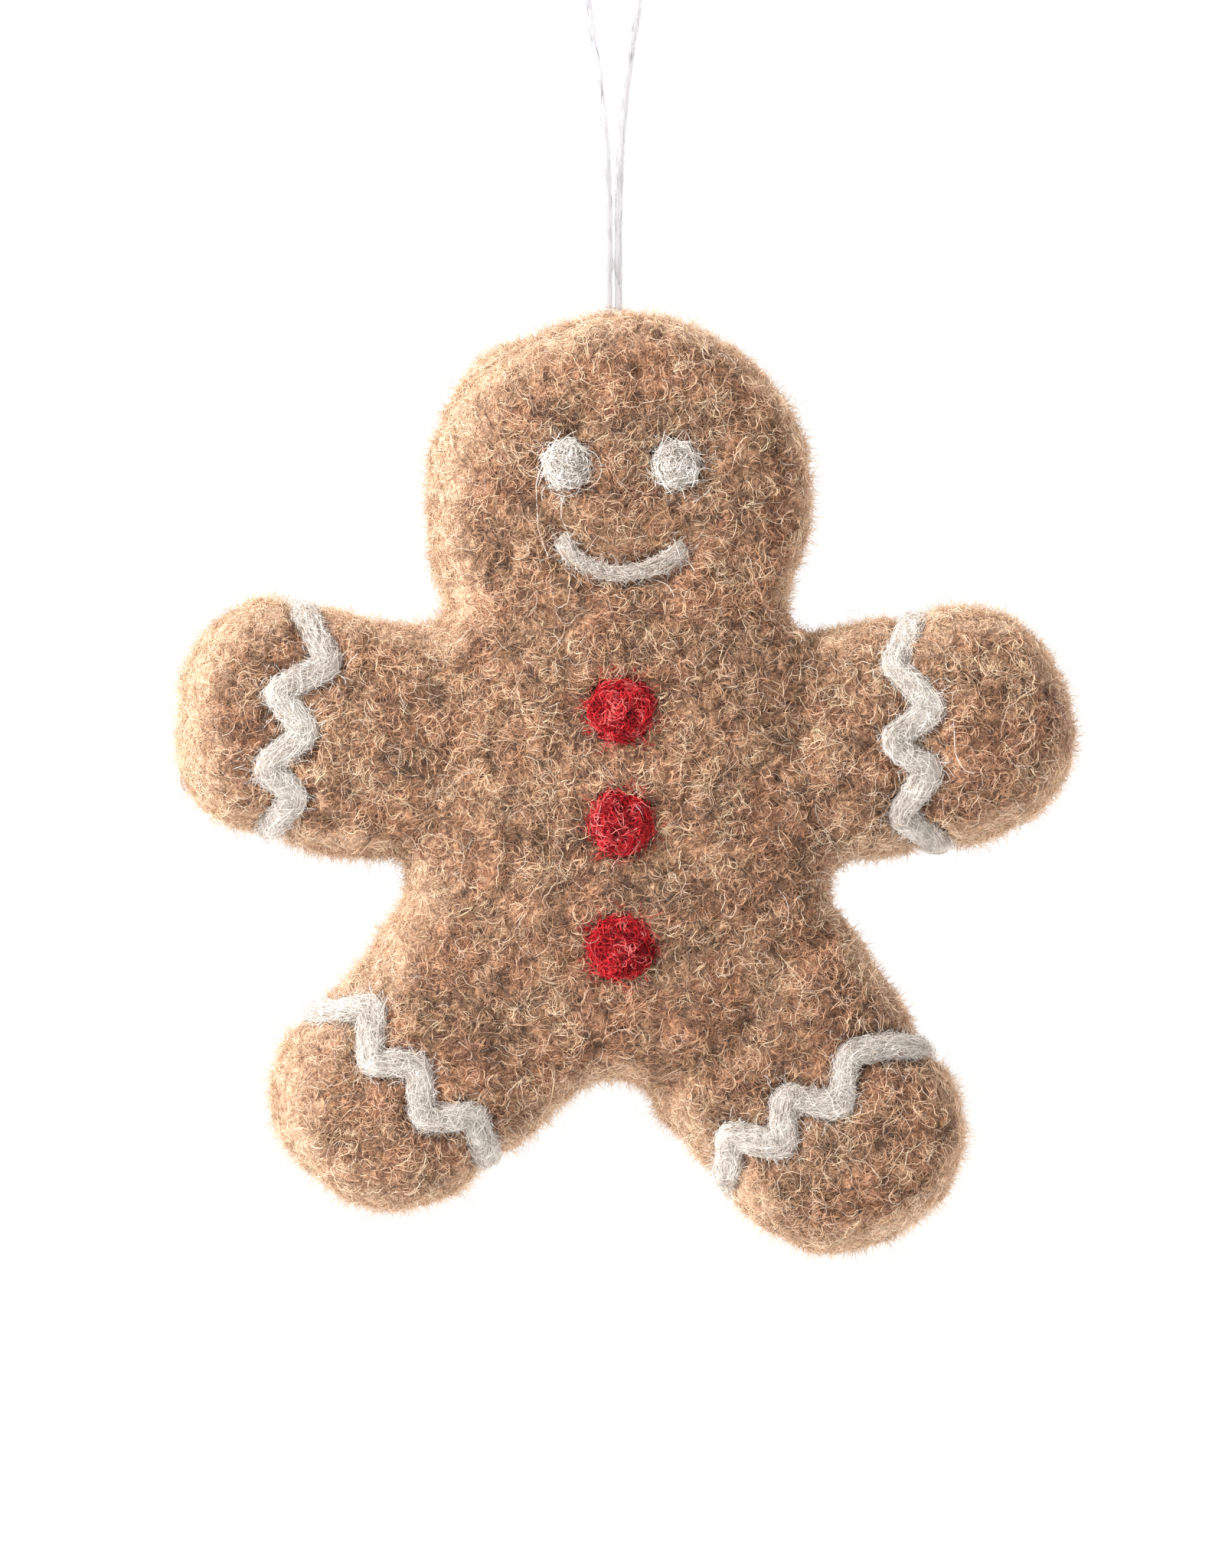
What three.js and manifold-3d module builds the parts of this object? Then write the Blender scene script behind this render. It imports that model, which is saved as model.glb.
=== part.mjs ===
// Gingerbread ornament of needle-felted wool, hanging from a loop of thread.
// Millimetres, +Z up. The front faces -Y, and the figure's own left is +X.
// The origin is the point inside the top of the loop, where a hook bears.

import * as THREE from 'three';
import { mergeVertices } from 'three/addons/utils/BufferGeometryUtils.js';
import Module from 'manifold-3d';

const wasm = await Module();
wasm.setup();

// Clearance between pieces that touch, and how far a cut runs on past a surface
const seatGap = 0.3;
const cutOverrun = 2;

// Head, measured down from its crown to the neck seam
const headHeight = 36.6;
const headWidth = 46.8;
const neckWidth = 41;
const headDepth = 17.8;
const crownReach = 20.4;
const headSkirt = 2.6;

// Torso, from the neck seam down to the crotch
const torsoHeight = 57;
const shoulderWidth = 50;
const hipWidth = 52.4;
const torsoDepth = 18.6;
const torsoTuck = 3.6;
const torsoTopReach = 11;
const torsoBottomReach = 23;

// Arms, from the shoulder points inside the torso to the hand tips
const shoulderSpread = 37.4;
const shoulderDrop = 17;
const armWidth = 29;
const armRootWidth = 27;
const armDepth = 16.8;
const armRootDepth = 15.6;
const leftArmLength = 36.8;
const rightArmLength = 35.7;
const leftArmRise = THREE.MathUtils.degToRad(8.2);
const rightArmRise = THREE.MathUtils.degToRad(9.7);

// Legs, from the hip points inside the torso to the toe tips
const hipSpread = 22.6;
const hipRise = 15.4;
const leftThighWidth = 32.2;
const rightThighWidth = 30.4;
const legDepth = 17.4;
const legRootDepth = 16;
const leftFootWidth = 30;
const rightFootWidth = 29;
const leftLegLength = 40.4;
const rightLegLength = 37.5;
const leftLegSplay = THREE.MathUtils.degToRad(34.8);
const rightLegSplay = THREE.MathUtils.degToRad(44.3);

// Rounding of the felt: reach of the edge on the depth, and of a limb's buried root
const rimReach = 8.4;
const rootReach = 7;

// Fullness of the felt's curves, where 2 is an ellipse and more is squarer
const rimPower = 2;
const headEndPower = 1.95;
const headSectionPower = 2.5;
const torsoEndPower = 2;
const torsoSectionPower = 2.9;
const limbSectionPower = 2.4;
const leftHandPower = 2.05;
const rightHandPower = 2.4;
const leftFootPower = 2.15;
const rightFootPower = 2;

// Face of white wool
const eyeDiameter = 6.5;
const eyeThickness = 4.2;
const eyeSpacing = 13.2;
const eyeDrop = 18.6;
const faceShift = -0.4;
const smileWidth = 14.6;
const smileSag = 4.2;
const smileDrop = 27.9;
const smileThickness = 2.5;

// Buttons of red wool, down the middle of the torso
const buttonDiameter = 8;
const buttonThickness = 4.6;
const buttonTopDrop = 11.6;
const buttonRun = 28.8;
const buttonShift = -0.3;

// How far the middle of an eye or button lies under the felt, of its thickness
const sinkShare = 0.125;

// White yarn laid as icing over the wrists and ankles
const yarnDiameter = 3;
const yarnSink = 0.4;
const yarnBend = 2.05;
const easeShare = 0.5;
const leftWristSetback = 19.7;
const rightWristSetback = 14.3;
const leftAnkleSetback = 19.1;
const rightAnkleSetback = 16.4;
const wristSwing = 4.5;
const ankleSwing = 5;

// Hanging loop: thread, its knot in the head, and the room where it hinges
const threadDiameter = 1;
const strandSpacing = 1.4;
const loopRise = 46.5;
const loopSplit = 23.8;
const knotDiameter = 3.4;
const knotDepth = 7.4;
const stubProud = 0.2;
const strandGap = 0.45;
const figureShift = 0.8;

// Fineness of the facets
const pillowSides = 24;
const capRings = 6;
const tubeSides = 8;
const bendPoints = 3;
const yarnStep = 1.25;
const threadStep = 2.4;
const ballSides = 16;
const ballRings = 10;
const girthSamples = 120;
const loopSamples = 200;
const weldShare = 0.001;

// Materials
const felt = new THREE.MeshStandardMaterial({ color: 0x9c6a42, roughness: 0.95, metalness: 0 });
const whiteWool = new THREE.MeshStandardMaterial({ color: 0xe4dfd8, roughness: 0.95, metalness: 0 });
const redWool = new THREE.MeshStandardMaterial({ color: 0xb3191f, roughness: 0.9, metalness: 0 });
const thread = new THREE.MeshStandardMaterial({ color: 0xe9e4ee, roughness: 0.6, metalness: 0 });

// Solids in and out of the boolean library

function asSolid(geometry, matrix = new THREE.Matrix4()) {
  const bare = geometry.clone().applyMatrix4(matrix);
  bare.deleteAttribute('normal');
  bare.deleteAttribute('uv');
  const merged = mergeVertices(bare, seatGap * weldShare);
  return new wasm.Manifold(new wasm.Mesh({
    numProp: 3,
    vertProperties: new Float32Array(merged.attributes.position.array),
    triVerts: new Uint32Array(merged.index.array),
  }));
}

function asGeometry(solid) {
  const { vertProperties, triVerts } = solid.getMesh();
  const geometry = new THREE.BufferGeometry();
  geometry.setAttribute('position', new THREE.BufferAttribute(vertProperties, 3));
  geometry.setIndex(new THREE.BufferAttribute(triVerts, 1));
  geometry.computeVertexNormals();
  return geometry;
}

// A piece's geometry less each cutter, where a cutter is [geometry, its own matrix].
function cutBy(geometry, matrix, cutters) {
  const toLocal = matrix.clone().invert();
  let solid = asSolid(geometry);
  for (const [cutter, cutterMatrix] of cutters) {
    solid = solid.subtract(asSolid(cutter, toLocal.clone().multiply(cutterMatrix)));
  }
  return asGeometry(solid);
}

// Pillow forms: felt that swells along its own +Z, from its near end to its far end

// Rises from 0 at an end of the pillow to 1 at the reach, as a superellipse does.
function endShare(distance, reach, power) {
  if (distance >= reach) return 1;
  const rest = Math.min(1 - distance / reach, 1);
  return (1 - rest ** power) ** (1 / power);
}

// Half width and half depth at a distance from the near end, with the pillow grown all round.
function sectionAt(form, distance, grow = 0) {
  const { length, nearReach, farReach, endPower } = form;
  const ease = THREE.MathUtils.smoothstep(distance, nearReach, length - farReach);
  const near = distance + grow;
  const far = length + grow - distance;
  const widthShare = endShare(near, nearReach + (nearReach ? grow : 0), endPower)
    * endShare(far, farReach + grow, endPower);
  const nearRim = Math.min(nearReach, rimReach);
  const depthShare = endShare(near, nearRim + (nearRim ? grow : 0), rimPower)
    * endShare(far, Math.min(farReach, rimReach) + grow, rimPower);
  const width = THREE.MathUtils.lerp(form.nearWidth, form.farWidth, ease);
  const depth = THREE.MathUtils.lerp(form.nearDepth, form.farDepth, ease);
  return [(width / 2 + grow) * widthShare, (depth / 2 + grow) * depthShare];
}

// A point of the section's superellipse. Angle 0 is the front's middle, a quarter turn is +X.
function sectionPoint([halfWidth, halfDepth], angle, power) {
  const bend = (value) => Math.sign(value) * Math.abs(value) ** (2 / power);
  return new THREE.Vector2(halfWidth * bend(Math.sin(angle)), -halfDepth * bend(Math.cos(angle)));
}

// Distances of the rings from the near end, closer together where an end rounds off.
function ringDistances(form, grow) {
  const { length, nearReach, farReach, middleRings } = form;
  const rounded = (reach) => Array.from({ length: capRings }, (_, ring) => (
    reach * (1 - Math.cos((Math.PI / 2) * ((ring + 1) / (capRings + 1))))));
  const nearRings = nearReach ? rounded(nearReach + grow).map((step) => step - grow) : [-grow];
  const farRings = rounded(farReach + grow).map((step) => length + grow - step).reverse();
  const spans = middleRings + 1;
  const middle = Array.from({ length: spans + 1 }, (_, ring) => (
    THREE.MathUtils.lerp(nearReach, length - farReach, ring / spans)));
  return [...nearRings, ...(nearReach ? middle : middle.slice(1)), ...farRings];
}

function pillow(form, grow = 0) {
  const rings = ringDistances(form, grow).map((distance) => {
    const section = sectionAt(form, distance, grow);
    return Array.from({ length: pillowSides }, (_, side) => {
      const point = sectionPoint(section, (side / pillowSides) * 2 * Math.PI, form.sectionPower);
      return new THREE.Vector3(point.x, point.y, distance);
    });
  });
  const nearPole = new THREE.Vector3(0, 0, -grow);
  const farPole = new THREE.Vector3(0, 0, form.length + grow);
  const points = [nearPole, ...rings.flat(), farPole];
  const at = (ring, side) => 1 + ring * pillowSides + (side % pillowSides);
  const last = rings.length - 1;
  const faces = [];
  for (let side = 0; side < pillowSides; side += 1) {
    faces.push(0, at(0, side + 1), at(0, side));
    for (let ring = 0; ring < last; ring += 1) {
      faces.push(at(ring, side), at(ring, side + 1), at(ring + 1, side + 1));
      faces.push(at(ring, side), at(ring + 1, side + 1), at(ring + 1, side));
    }
    faces.push(at(last, side), at(last, side + 1), points.length - 1);
  }
  const geometry = new THREE.BufferGeometry().setFromPoints(points);
  geometry.setIndex(faces);
  geometry.computeVertexNormals();
  return geometry;
}

// Depth of the front face behind which a point lies, at an offset across the pillow.
function frontDepth(form, distance, across) {
  const [halfWidth, halfDepth] = sectionAt(form, distance);
  const power = form.sectionPower;
  return halfDepth * (1 - (Math.abs(across) / halfWidth) ** power) ** (1 / power);
}

// A point at a depth under the surface: around is 0 at the front's middle and 1 at the +X side's.
function surfacePoint(form, distance, around, sink = 0) {
  const section = sectionAt(form, distance, -sink);
  const path = Array.from({ length: girthSamples + 1 }, (_, step) => (
    sectionPoint(section, (step / girthSamples) * Math.PI, form.sectionPower)));
  const lengths = [0];
  for (let step = 1; step <= girthSamples; step += 1) {
    lengths.push(lengths[step - 1] + path[step].distanceTo(path[step - 1]));
  }
  const target = (Math.abs(around) * lengths[girthSamples]) / 2;
  const step = Math.max(lengths.findIndex((length) => length >= target), 1);
  const share = (target - lengths[step - 1]) / (lengths[step] - lengths[step - 1]);
  const point = path[step - 1].clone().lerp(path[step], share);
  return new THREE.Vector3(Math.sign(around) * point.x, point.y, distance);
}

// Tubes and balls

function tube(points, radius, step) {
  const curve = new THREE.CatmullRomCurve3(points, false, 'centripetal');
  const steps = Math.max(Math.round(curve.getLength() / step), 1);
  const outline = Array.from({ length: tubeSides }, (_, side) => {
    const angle = (side / tubeSides) * 2 * Math.PI;
    return new THREE.Vector2(radius * Math.cos(angle), radius * Math.sin(angle));
  });
  return new THREE.ExtrudeGeometry(new THREE.Shape(outline), { steps, extrudePath: curve });
}

function ball(diameter, thickness) {
  const geometry = new THREE.SphereGeometry(diameter / 2, ballSides, ballRings);
  geometry.rotateX(Math.PI / 2);
  geometry.scale(1, thickness / diameter, 1);
  return geometry;
}

// A zigzag with its inner corners turned to arcs, as points in the plane.
function roundedCorners(corners, radius) {
  const points = [corners[0]];
  for (let corner = 1; corner < corners.length - 1; corner += 1) {
    const here = corners[corner];
    const back = corners[corner - 1].clone().sub(here);
    const ahead = corners[corner + 1].clone().sub(here);
    const room = Math.min(back.length(), ahead.length()) / 2;
    back.normalize();
    ahead.normalize();
    const half = Math.acos(THREE.MathUtils.clamp(back.dot(ahead), -1, 1)) / 2;
    const setback = Math.min(radius / Math.tan(half), room);
    const centre = back.clone().add(ahead).normalize()
      .multiplyScalar(setback / Math.cos(half)).add(here);
    const start = back.clone().multiplyScalar(setback).add(here);
    const turn = Math.sign(back.cross(ahead)) * (Math.PI - 2 * half);
    for (let step = 0; step <= bendPoints; step += 1) {
      points.push(start.clone().rotateAround(centre, -turn * (step / bendPoints)));
    }
  }
  points.push(corners[corners.length - 1]);
  return points;
}

// The same line with points no further apart than a step.
function closeSet(points, step) {
  return points.slice(1).flatMap((end, index) => {
    const start = points[index];
    const parts = Math.ceil(start.distanceTo(end) / step);
    return Array.from({ length: parts }, (_, part) => start.clone().lerp(end, part / parts));
  }).concat(points.at(-1));
}

// The same points with each inner one drawn towards the middle of its neighbours.
function eased(points) {
  return points.map((point, index) => {
    if (index === 0 || index === points.length - 1) return point;
    const middle = points[index - 1].clone().lerp(points[index + 1], 0.5);
    return point.clone().lerp(middle, easeShare);
  });
}

// Yarn zigzag on a limb: [swing share, around share] for each corner of its centre line
const leftWristShares = [
  [-0.5, -1.1], [0.5, -0.5], [-0.95, -0.15], [1.02, -0.01], [-0.62, 0.22], [0.95, 0.53], [-0.3, 1],
];
const rightWristShares = [
  [-0.28, 1.1], [0.94, 0.43], [-1.1, 0.19], [0.8, -0.01], [-1.05, -0.31], [0.58, -0.45], [-0.26, -1],
];
const leftAnkleShares = [
  [-0.57, -1.1], [0.68, -0.33], [-0.8, -0.11], [1, 0.16], [-1, 0.33], [0.8, 0.6], [-0.43, 1],
];
const rightAnkleShares = [
  [-0.48, 1.06], [0.92, 0.53], [-0.75, 0.26], [0.85, 0.05], [-0.78, -0.23], [0.67, -0.44], [-0.04, -1],
];

function yarnPath(form, setback, swing, shares) {
  const line = form.length - setback;
  const girth = 2 * surfacePoint(form, line, 1).x + form.farDepth / 2;
  const corners = shares.map(([swingShare, aroundShare]) => (
    new THREE.Vector2(line - swing * swingShare, (aroundShare * girth) / 2)));
  return eased(closeSet(roundedCorners(corners, yarnBend), yarnStep)
    .map((point) => surfacePoint(form, point.x, (2 * point.y) / girth, yarnSink)));
}

// The six felt forms

const headForm = {
  length: headHeight + headSkirt,
  nearWidth: neckWidth,
  farWidth: headWidth,
  nearDepth: headDepth,
  farDepth: headDepth,
  nearReach: 0,
  farReach: crownReach,
  endPower: headEndPower,
  sectionPower: headSectionPower,
  middleRings: 4,
};

const torsoForm = {
  length: torsoHeight + torsoTuck,
  nearWidth: hipWidth,
  farWidth: shoulderWidth,
  nearDepth: torsoDepth,
  farDepth: torsoDepth,
  nearReach: torsoBottomReach,
  farReach: torsoTopReach,
  endPower: torsoEndPower,
  sectionPower: torsoSectionPower,
  middleRings: 3,
};

const armForm = (length, endPower) => ({
  length,
  nearWidth: armRootWidth,
  farWidth: armWidth,
  nearDepth: armRootDepth,
  farDepth: armDepth,
  nearReach: rootReach,
  farReach: armWidth / 2,
  endPower,
  sectionPower: limbSectionPower,
  middleRings: 2,
});

const legForm = (length, thighWidth, footWidth, endPower) => ({
  length,
  nearWidth: thighWidth,
  farWidth: footWidth,
  nearDepth: legRootDepth,
  farDepth: legDepth,
  nearReach: rootReach,
  farReach: footWidth / 2,
  endPower,
  sectionPower: limbSectionPower,
  middleRings: 2,
});

const leftArmForm = armForm(leftArmLength, leftHandPower);
const rightArmForm = armForm(rightArmLength, rightHandPower);
const leftLegForm = legForm(leftLegLength, leftThighWidth, leftFootWidth, leftFootPower);
const rightLegForm = legForm(rightLegLength, rightThighWidth, rightFootWidth, rightFootPower);

// Each felt piece stands in its own group, turned about the depth axis
const neckHeight = -headHeight;
const shoulderHeight = neckHeight - shoulderDrop;
const hipHeight = neckHeight - torsoHeight + hipRise;
const quarterTurn = Math.PI / 2;

const places = {
  head: [headForm, 0, neckHeight - headSkirt, 0],
  torso: [torsoForm, 0, neckHeight - torsoHeight, 0],
  left_arm: [leftArmForm, shoulderSpread / 2, shoulderHeight, quarterTurn - leftArmRise],
  right_arm: [rightArmForm, -shoulderSpread / 2, shoulderHeight, rightArmRise - quarterTurn],
  left_leg: [leftLegForm, hipSpread / 2, hipHeight, Math.PI - leftLegSplay],
  right_leg: [rightLegForm, -hipSpread / 2, hipHeight, rightLegSplay - Math.PI],
};

const figure = new THREE.Group();
figure.position.set(figureShift, 0, -loopRise);

const segments = {};
for (const [name, [form, x, z, turn]] of Object.entries(places)) {
  const group = new THREE.Group();
  group.position.set(x, 0, z);
  group.rotation.y = turn;
  group.updateMatrix();
  figure.add(group);
  segments[name] = { form, group, cutters: [] };
}

// The larger pieces press their form into the smaller ones
const cutOrder = {
  head: ['torso'],
  left_leg: ['torso'],
  right_leg: ['torso', 'left_leg'],
  left_arm: ['torso', 'head', 'left_leg'],
  right_arm: ['torso', 'head', 'right_leg'],
};
for (const [name, larger] of Object.entries(cutOrder)) {
  for (const other of larger) {
    const { form, group } = segments[other];
    segments[name].cutters.push([pillow(form, seatGap), group.matrix]);
  }
}

function addPiece(group, name, geometry, material) {
  const mesh = new THREE.Mesh(geometry, material);
  mesh.name = name;
  group.add(mesh);
  return mesh;
}

// Eyes and buttons: flattened balls of wool, sunk into dimples of the same shape
function addBall(segment, name, material, across, distance, diameter, thickness) {
  const { form, group, cutters } = segment;
  const surface = frontDepth(form, distance, across);
  const seat = new THREE.Matrix4().makeTranslation(across, thickness * sinkShare - surface, distance);
  const piece = addPiece(group, name, ball(diameter, thickness), material);
  piece.position.setFromMatrixPosition(seat);
  const dimple = ball(diameter + 2 * seatGap, thickness + 2 * seatGap);
  cutters.push([dimple, group.matrix.clone().multiply(seat)]);
}

const eyeDistance = headForm.length - eyeDrop;
for (const [name, side] of [['left_eye', 1], ['right_eye', -1]]) {
  const across = faceShift + (side * eyeSpacing) / 2;
  addBall(segments.head, name, whiteWool, across, eyeDistance, eyeDiameter, eyeThickness);
}

const buttonShares = { top_button: 0, middle_button: 0.48, bottom_button: 1 };
for (const [name, share] of Object.entries(buttonShares)) {
  const distance = torsoHeight - buttonTopDrop - share * buttonRun;
  addBall(segments.torso, name, redWool, buttonShift, distance, buttonDiameter, buttonThickness);
}

// Smile and icing: lengths of yarn, each in a groove of its own shape
function addYarn(segment, name, points, diameter) {
  const { group, cutters } = segment;
  addPiece(group, name, tube(points, diameter / 2, yarnStep), whiteWool);
  const groove = tube(points, diameter / 2 + seatGap, yarnStep);
  cutters.push([groove, group.matrix]);
}

// [share of the half width, share of the sag] along the smile
const smileShares = [[-1, 0], [-0.8, 0.5], [-0.42, 0.9], [0, 1], [0.38, 0.88], [0.74, 0.64], [1, 0.2]];
addYarn(segments.head, 'smile', smileShares.map(([acrossShare, sagShare]) => {
  const across = faceShift + (acrossShare * smileWidth) / 2;
  const distance = headForm.length - smileDrop - sagShare * smileSag;
  return new THREE.Vector3(across, yarnSink - frontDepth(headForm, distance, across), distance);
}), smileThickness);

const icing = {
  left_wrist_icing: ['left_arm', leftWristSetback, wristSwing, leftWristShares],
  right_wrist_icing: ['right_arm', rightWristSetback, wristSwing, rightWristShares],
  left_ankle_icing: ['left_leg', leftAnkleSetback, ankleSwing, leftAnkleShares],
  right_ankle_icing: ['right_leg', rightAnkleSetback, ankleSwing, rightAnkleShares],
};
for (const [name, [limb, setback, swing, shares]] of Object.entries(icing)) {
  const segment = segments[limb];
  addYarn(segment, name, yarnPath(segment.form, setback, swing, shares), yarnDiameter);
}

// Thread: a knot buried in the head, with two stubs that come out at the crown
const threadRadius = threadDiameter / 2;
const knotHeight = -loopRise - knotDepth;
const stubTop = -loopRise + stubProud;

function upright(x, low, high, radius) {
  return tube([new THREE.Vector3(x, 0, low), new THREE.Vector3(x, 0, high)], radius, high - low);
}

function knotSolid(grow, top) {
  let solid = asSolid(ball(knotDiameter + 2 * grow, knotDiameter + 2 * grow)
    .translate(0, 0, knotHeight));
  for (const side of [-1, 1]) {
    const stub = upright((side * strandSpacing) / 2, knotHeight, top, threadRadius + grow);
    solid = solid.add(asSolid(stub));
  }
  return solid;
}

const ornament = new THREE.Group();
ornament.add(figure);
addPiece(ornament, 'anchor_knot', asGeometry(knotSolid(0, stubTop)), thread);
const fromOrnament = new THREE.Matrix4().makeTranslation(-figureShift, 0, loopRise);
segments.head.cutters.push([asGeometry(knotSolid(seatGap, stubTop + cutOverrun)), fromOrnament]);

for (const [name, { form, group, cutters }] of Object.entries(segments)) {
  addPiece(group, name, cutBy(pillow(form), group.matrix, cutters), felt);
}

// Hanging loop, as [across, height] points of its right half from the head to the top
const strandFoot = stubTop + strandGap;
const loopRoute = [
  [0.7, -45.85], [0.72, -42], [0.78, -38], [0.86, -34], [0.98, -29.5], [1.2, -25], [1.5, -21],
  [1.9, -17], [2.4, -13], [2.95, -9.4], [3.4, -6.2], [3.6, -3.1],
];
const crownPoints = 5;
const bendRadius = loopRoute.at(-1)[0];
const bendHeight = threadRadius - bendRadius;

function loopSide(side) {
  return loopRoute.map(([across, height]) => new THREE.Vector3(side * across, 0, height));
}

const loopTop = Array.from({ length: crownPoints }, (_, step) => {
  const angle = Math.PI * ((step + 1) / (crownPoints + 1));
  return new THREE.Vector3(bendRadius * Math.cos(angle), 0, bendHeight + bendRadius * Math.sin(angle));
});
const wholeLoop = new THREE.CatmullRomCurve3(
  [...loopSide(1), ...loopTop, ...loopSide(-1).reverse()], false, 'centripetal');

// The stretch of the loop between two heights on one side, or over the top between both sides
const loopPoints = wholeLoop.getSpacedPoints(loopSamples);
const halfGap = seatGap / 2;
const upper = loopPoints.filter((point) => point.z > -loopSplit + halfGap);
const lower = (side) => loopPoints.filter((point) => (
  point.z < -loopSplit - halfGap && point.z > strandFoot - halfGap && side * point.x > 0));

addPiece(ornament, 'loop_bend', tube(upper, threadRadius, threadStep), thread);
addPiece(ornament, 'left_strand', tube(lower(1), threadRadius, threadStep), thread);
addPiece(ornament, 'right_strand', tube(lower(-1), threadRadius, threadStep), thread);

export default ornament;
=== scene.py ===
import math

import bmesh
import bpy
import numpy as np
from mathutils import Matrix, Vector, noise
from mathutils.bvhtree import BVHTree
from mathutils.kdtree import KDTree


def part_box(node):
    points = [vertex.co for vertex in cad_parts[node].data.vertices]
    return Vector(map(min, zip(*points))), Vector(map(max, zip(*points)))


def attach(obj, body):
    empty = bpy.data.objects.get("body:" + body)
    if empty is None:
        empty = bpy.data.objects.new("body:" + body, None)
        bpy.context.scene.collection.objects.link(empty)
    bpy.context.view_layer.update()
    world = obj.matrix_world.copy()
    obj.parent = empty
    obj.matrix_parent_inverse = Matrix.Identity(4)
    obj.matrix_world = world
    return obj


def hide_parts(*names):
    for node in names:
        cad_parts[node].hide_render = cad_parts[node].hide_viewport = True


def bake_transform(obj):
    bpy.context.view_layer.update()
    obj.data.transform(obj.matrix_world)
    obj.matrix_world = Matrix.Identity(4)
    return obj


# Looks of the felt gingerbread ornament. Lengths are millimetres until a mesh is made.

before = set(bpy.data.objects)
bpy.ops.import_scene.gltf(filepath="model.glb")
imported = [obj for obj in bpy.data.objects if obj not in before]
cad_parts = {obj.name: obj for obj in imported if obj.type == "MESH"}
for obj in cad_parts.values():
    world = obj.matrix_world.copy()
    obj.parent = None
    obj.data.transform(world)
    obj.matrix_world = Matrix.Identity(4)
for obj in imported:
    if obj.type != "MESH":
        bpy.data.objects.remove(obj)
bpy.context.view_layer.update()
MM = 0.001
FRONT = (0.0, -1.0, 0.0)
rng = np.random.default_rng(11)
noise.seed_set(11)  # noise_vector takes its seed from the clock otherwise
scene = bpy.context.scene


def linked(name, data):
    """A new object in the scene."""
    made = bpy.data.objects.new(name, data)
    scene.collection.objects.link(made)
    return made


def given(thing, settings):
    for setting, value in settings.items():
        setattr(thing, setting, value)
    return thing


# Camera: the photograph's frame at the figure's plane

AIM = (-0.14, 0.0, -103.7)
VIEW_HEIGHT = 191.5
CAMERA_AWAY = 900.0
CAMERA_TURN = math.radians(-3)
SENSOR = 36.0

camera_data = bpy.data.cameras.new("camera")
camera_data.sensor_fit = "VERTICAL"
camera_data.sensor_height = SENSOR
camera_data.lens = SENSOR * CAMERA_AWAY / VIEW_HEIGHT
camera = linked("camera", camera_data)
toward = Vector((math.sin(CAMERA_TURN), -math.cos(CAMERA_TURN), 0))
camera.location = (Vector(AIM) + CAMERA_AWAY * toward) * MM
camera.rotation_euler = (math.pi / 2, 0, CAMERA_TURN)
scene.camera = camera
scene.view_settings.view_transform = "Standard"


# Materials


class Paint:
    """A material with its nodes made in a few words."""

    def __init__(self, name, **sockets):
        self.material = bpy.data.materials.new(name)
        self.material.use_nodes = True
        self.tree = self.material.node_tree
        self.shader = self.tree.nodes["Principled BSDF"]
        for socket, value in sockets.items():
            self.shader.inputs[socket.replace("_", " ")].default_value = value

    def node(self, kind, inputs=(), out=0, **settings):
        """One output of a new node."""
        made = given(self.tree.nodes.new("ShaderNode" + kind), settings)
        for socket, value in dict(inputs).items():
            if isinstance(value, bpy.types.NodeSocket):
                self.tree.links.new(value, made.inputs[socket])
            else:
                made.inputs[socket].default_value = value
        return made.outputs[out]

    def place(self):
        """The piece's own coordinates, in millimetres."""
        own = self.node("TexCoord", out="Object")
        return self.node("VectorMath", {0: own, "Scale": 1 / MM}, operation="SCALE")

    def noise(self, place, scale, detail=2.0, distortion=0.0):
        inputs = {"Vector": place, "Scale": scale, "Detail": detail, "Distortion": distortion}
        return self.node("TexNoise", inputs, out="Fac")

    def math(self, operation, first, second=0.0):
        return self.node("Math", {0: first, 1: second}, operation=operation)

    def ranged(self, value, low, high, to_low=0.0, to_high=1.0):
        inputs = {"Value": value, 1: low, 2: high, 3: to_low, 4: to_high}
        return self.node("MapRange", inputs, interpolation_type="SMOOTHSTEP")

    def mixed(self, share, first, second, **settings):
        # The colour sockets of the mix node come after its number and vector ones.
        first, second = (value if isinstance(value, bpy.types.NodeSocket) else (*value, 1)
                         for value in (first, second))
        return self.node("Mix", {0: share, 6: first, 7: second}, out=2, data_type="RGBA",
                         **settings)

    def ramp(self, value, stops):
        colour = self.node("ValToRGB", {"Fac": value})
        elements = colour.node.color_ramp.elements
        while len(elements) < len(stops):
            elements.new(0.5)
        for element, (at, stop) in zip(elements, stops):
            element.position = at
            element.color = (*stop, 1)
        return colour

    def hairlines(self, place, scale, width, shift=0.0):
        """1 along thin curls over the surface, 0 away from them."""
        moved = self.node("VectorMath", {0: place, 1: (shift, -shift, 2 * shift)})
        away = self.math("SUBTRACT", self.noise(moved, scale, 1.0, 0.9), 0.5)
        return self.ranged(self.math("ABSOLUTE", away), 0.0, width, 1.0, 0.0)

    def coloured(self, colour):
        self.tree.links.new(colour, self.shader.inputs["Base Color"])

    def bumped(self, height, depth):
        bump = self.node("Bump", {"Height": height, "Distance": depth * MM, "Strength": 1.0})
        self.tree.links.new(bump, self.shader.inputs["Normal"])


def rim_share(paint, place):
    """0 on the front and back, 1 round the pale rims, with an uneven edge between; the rims are
    brushed felt and painted light, widest at upper left and below.
    """
    rim = paint.node("Attribute", out="Fac", attribute_name="rim")
    stray = paint.ranged(paint.noise(place, 0.55, 3.0, 0.4), 0.2, 0.8, -0.25, 0.25)
    return paint.ranged(paint.math("ADD", rim, stray), 0.05, 0.95)


WOOL = {"Roughness": 0.85, "Specular_IOR_Level": 0.25, "Sheen_Weight": 0.2, "Sheen_Roughness": 0.5}


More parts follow.
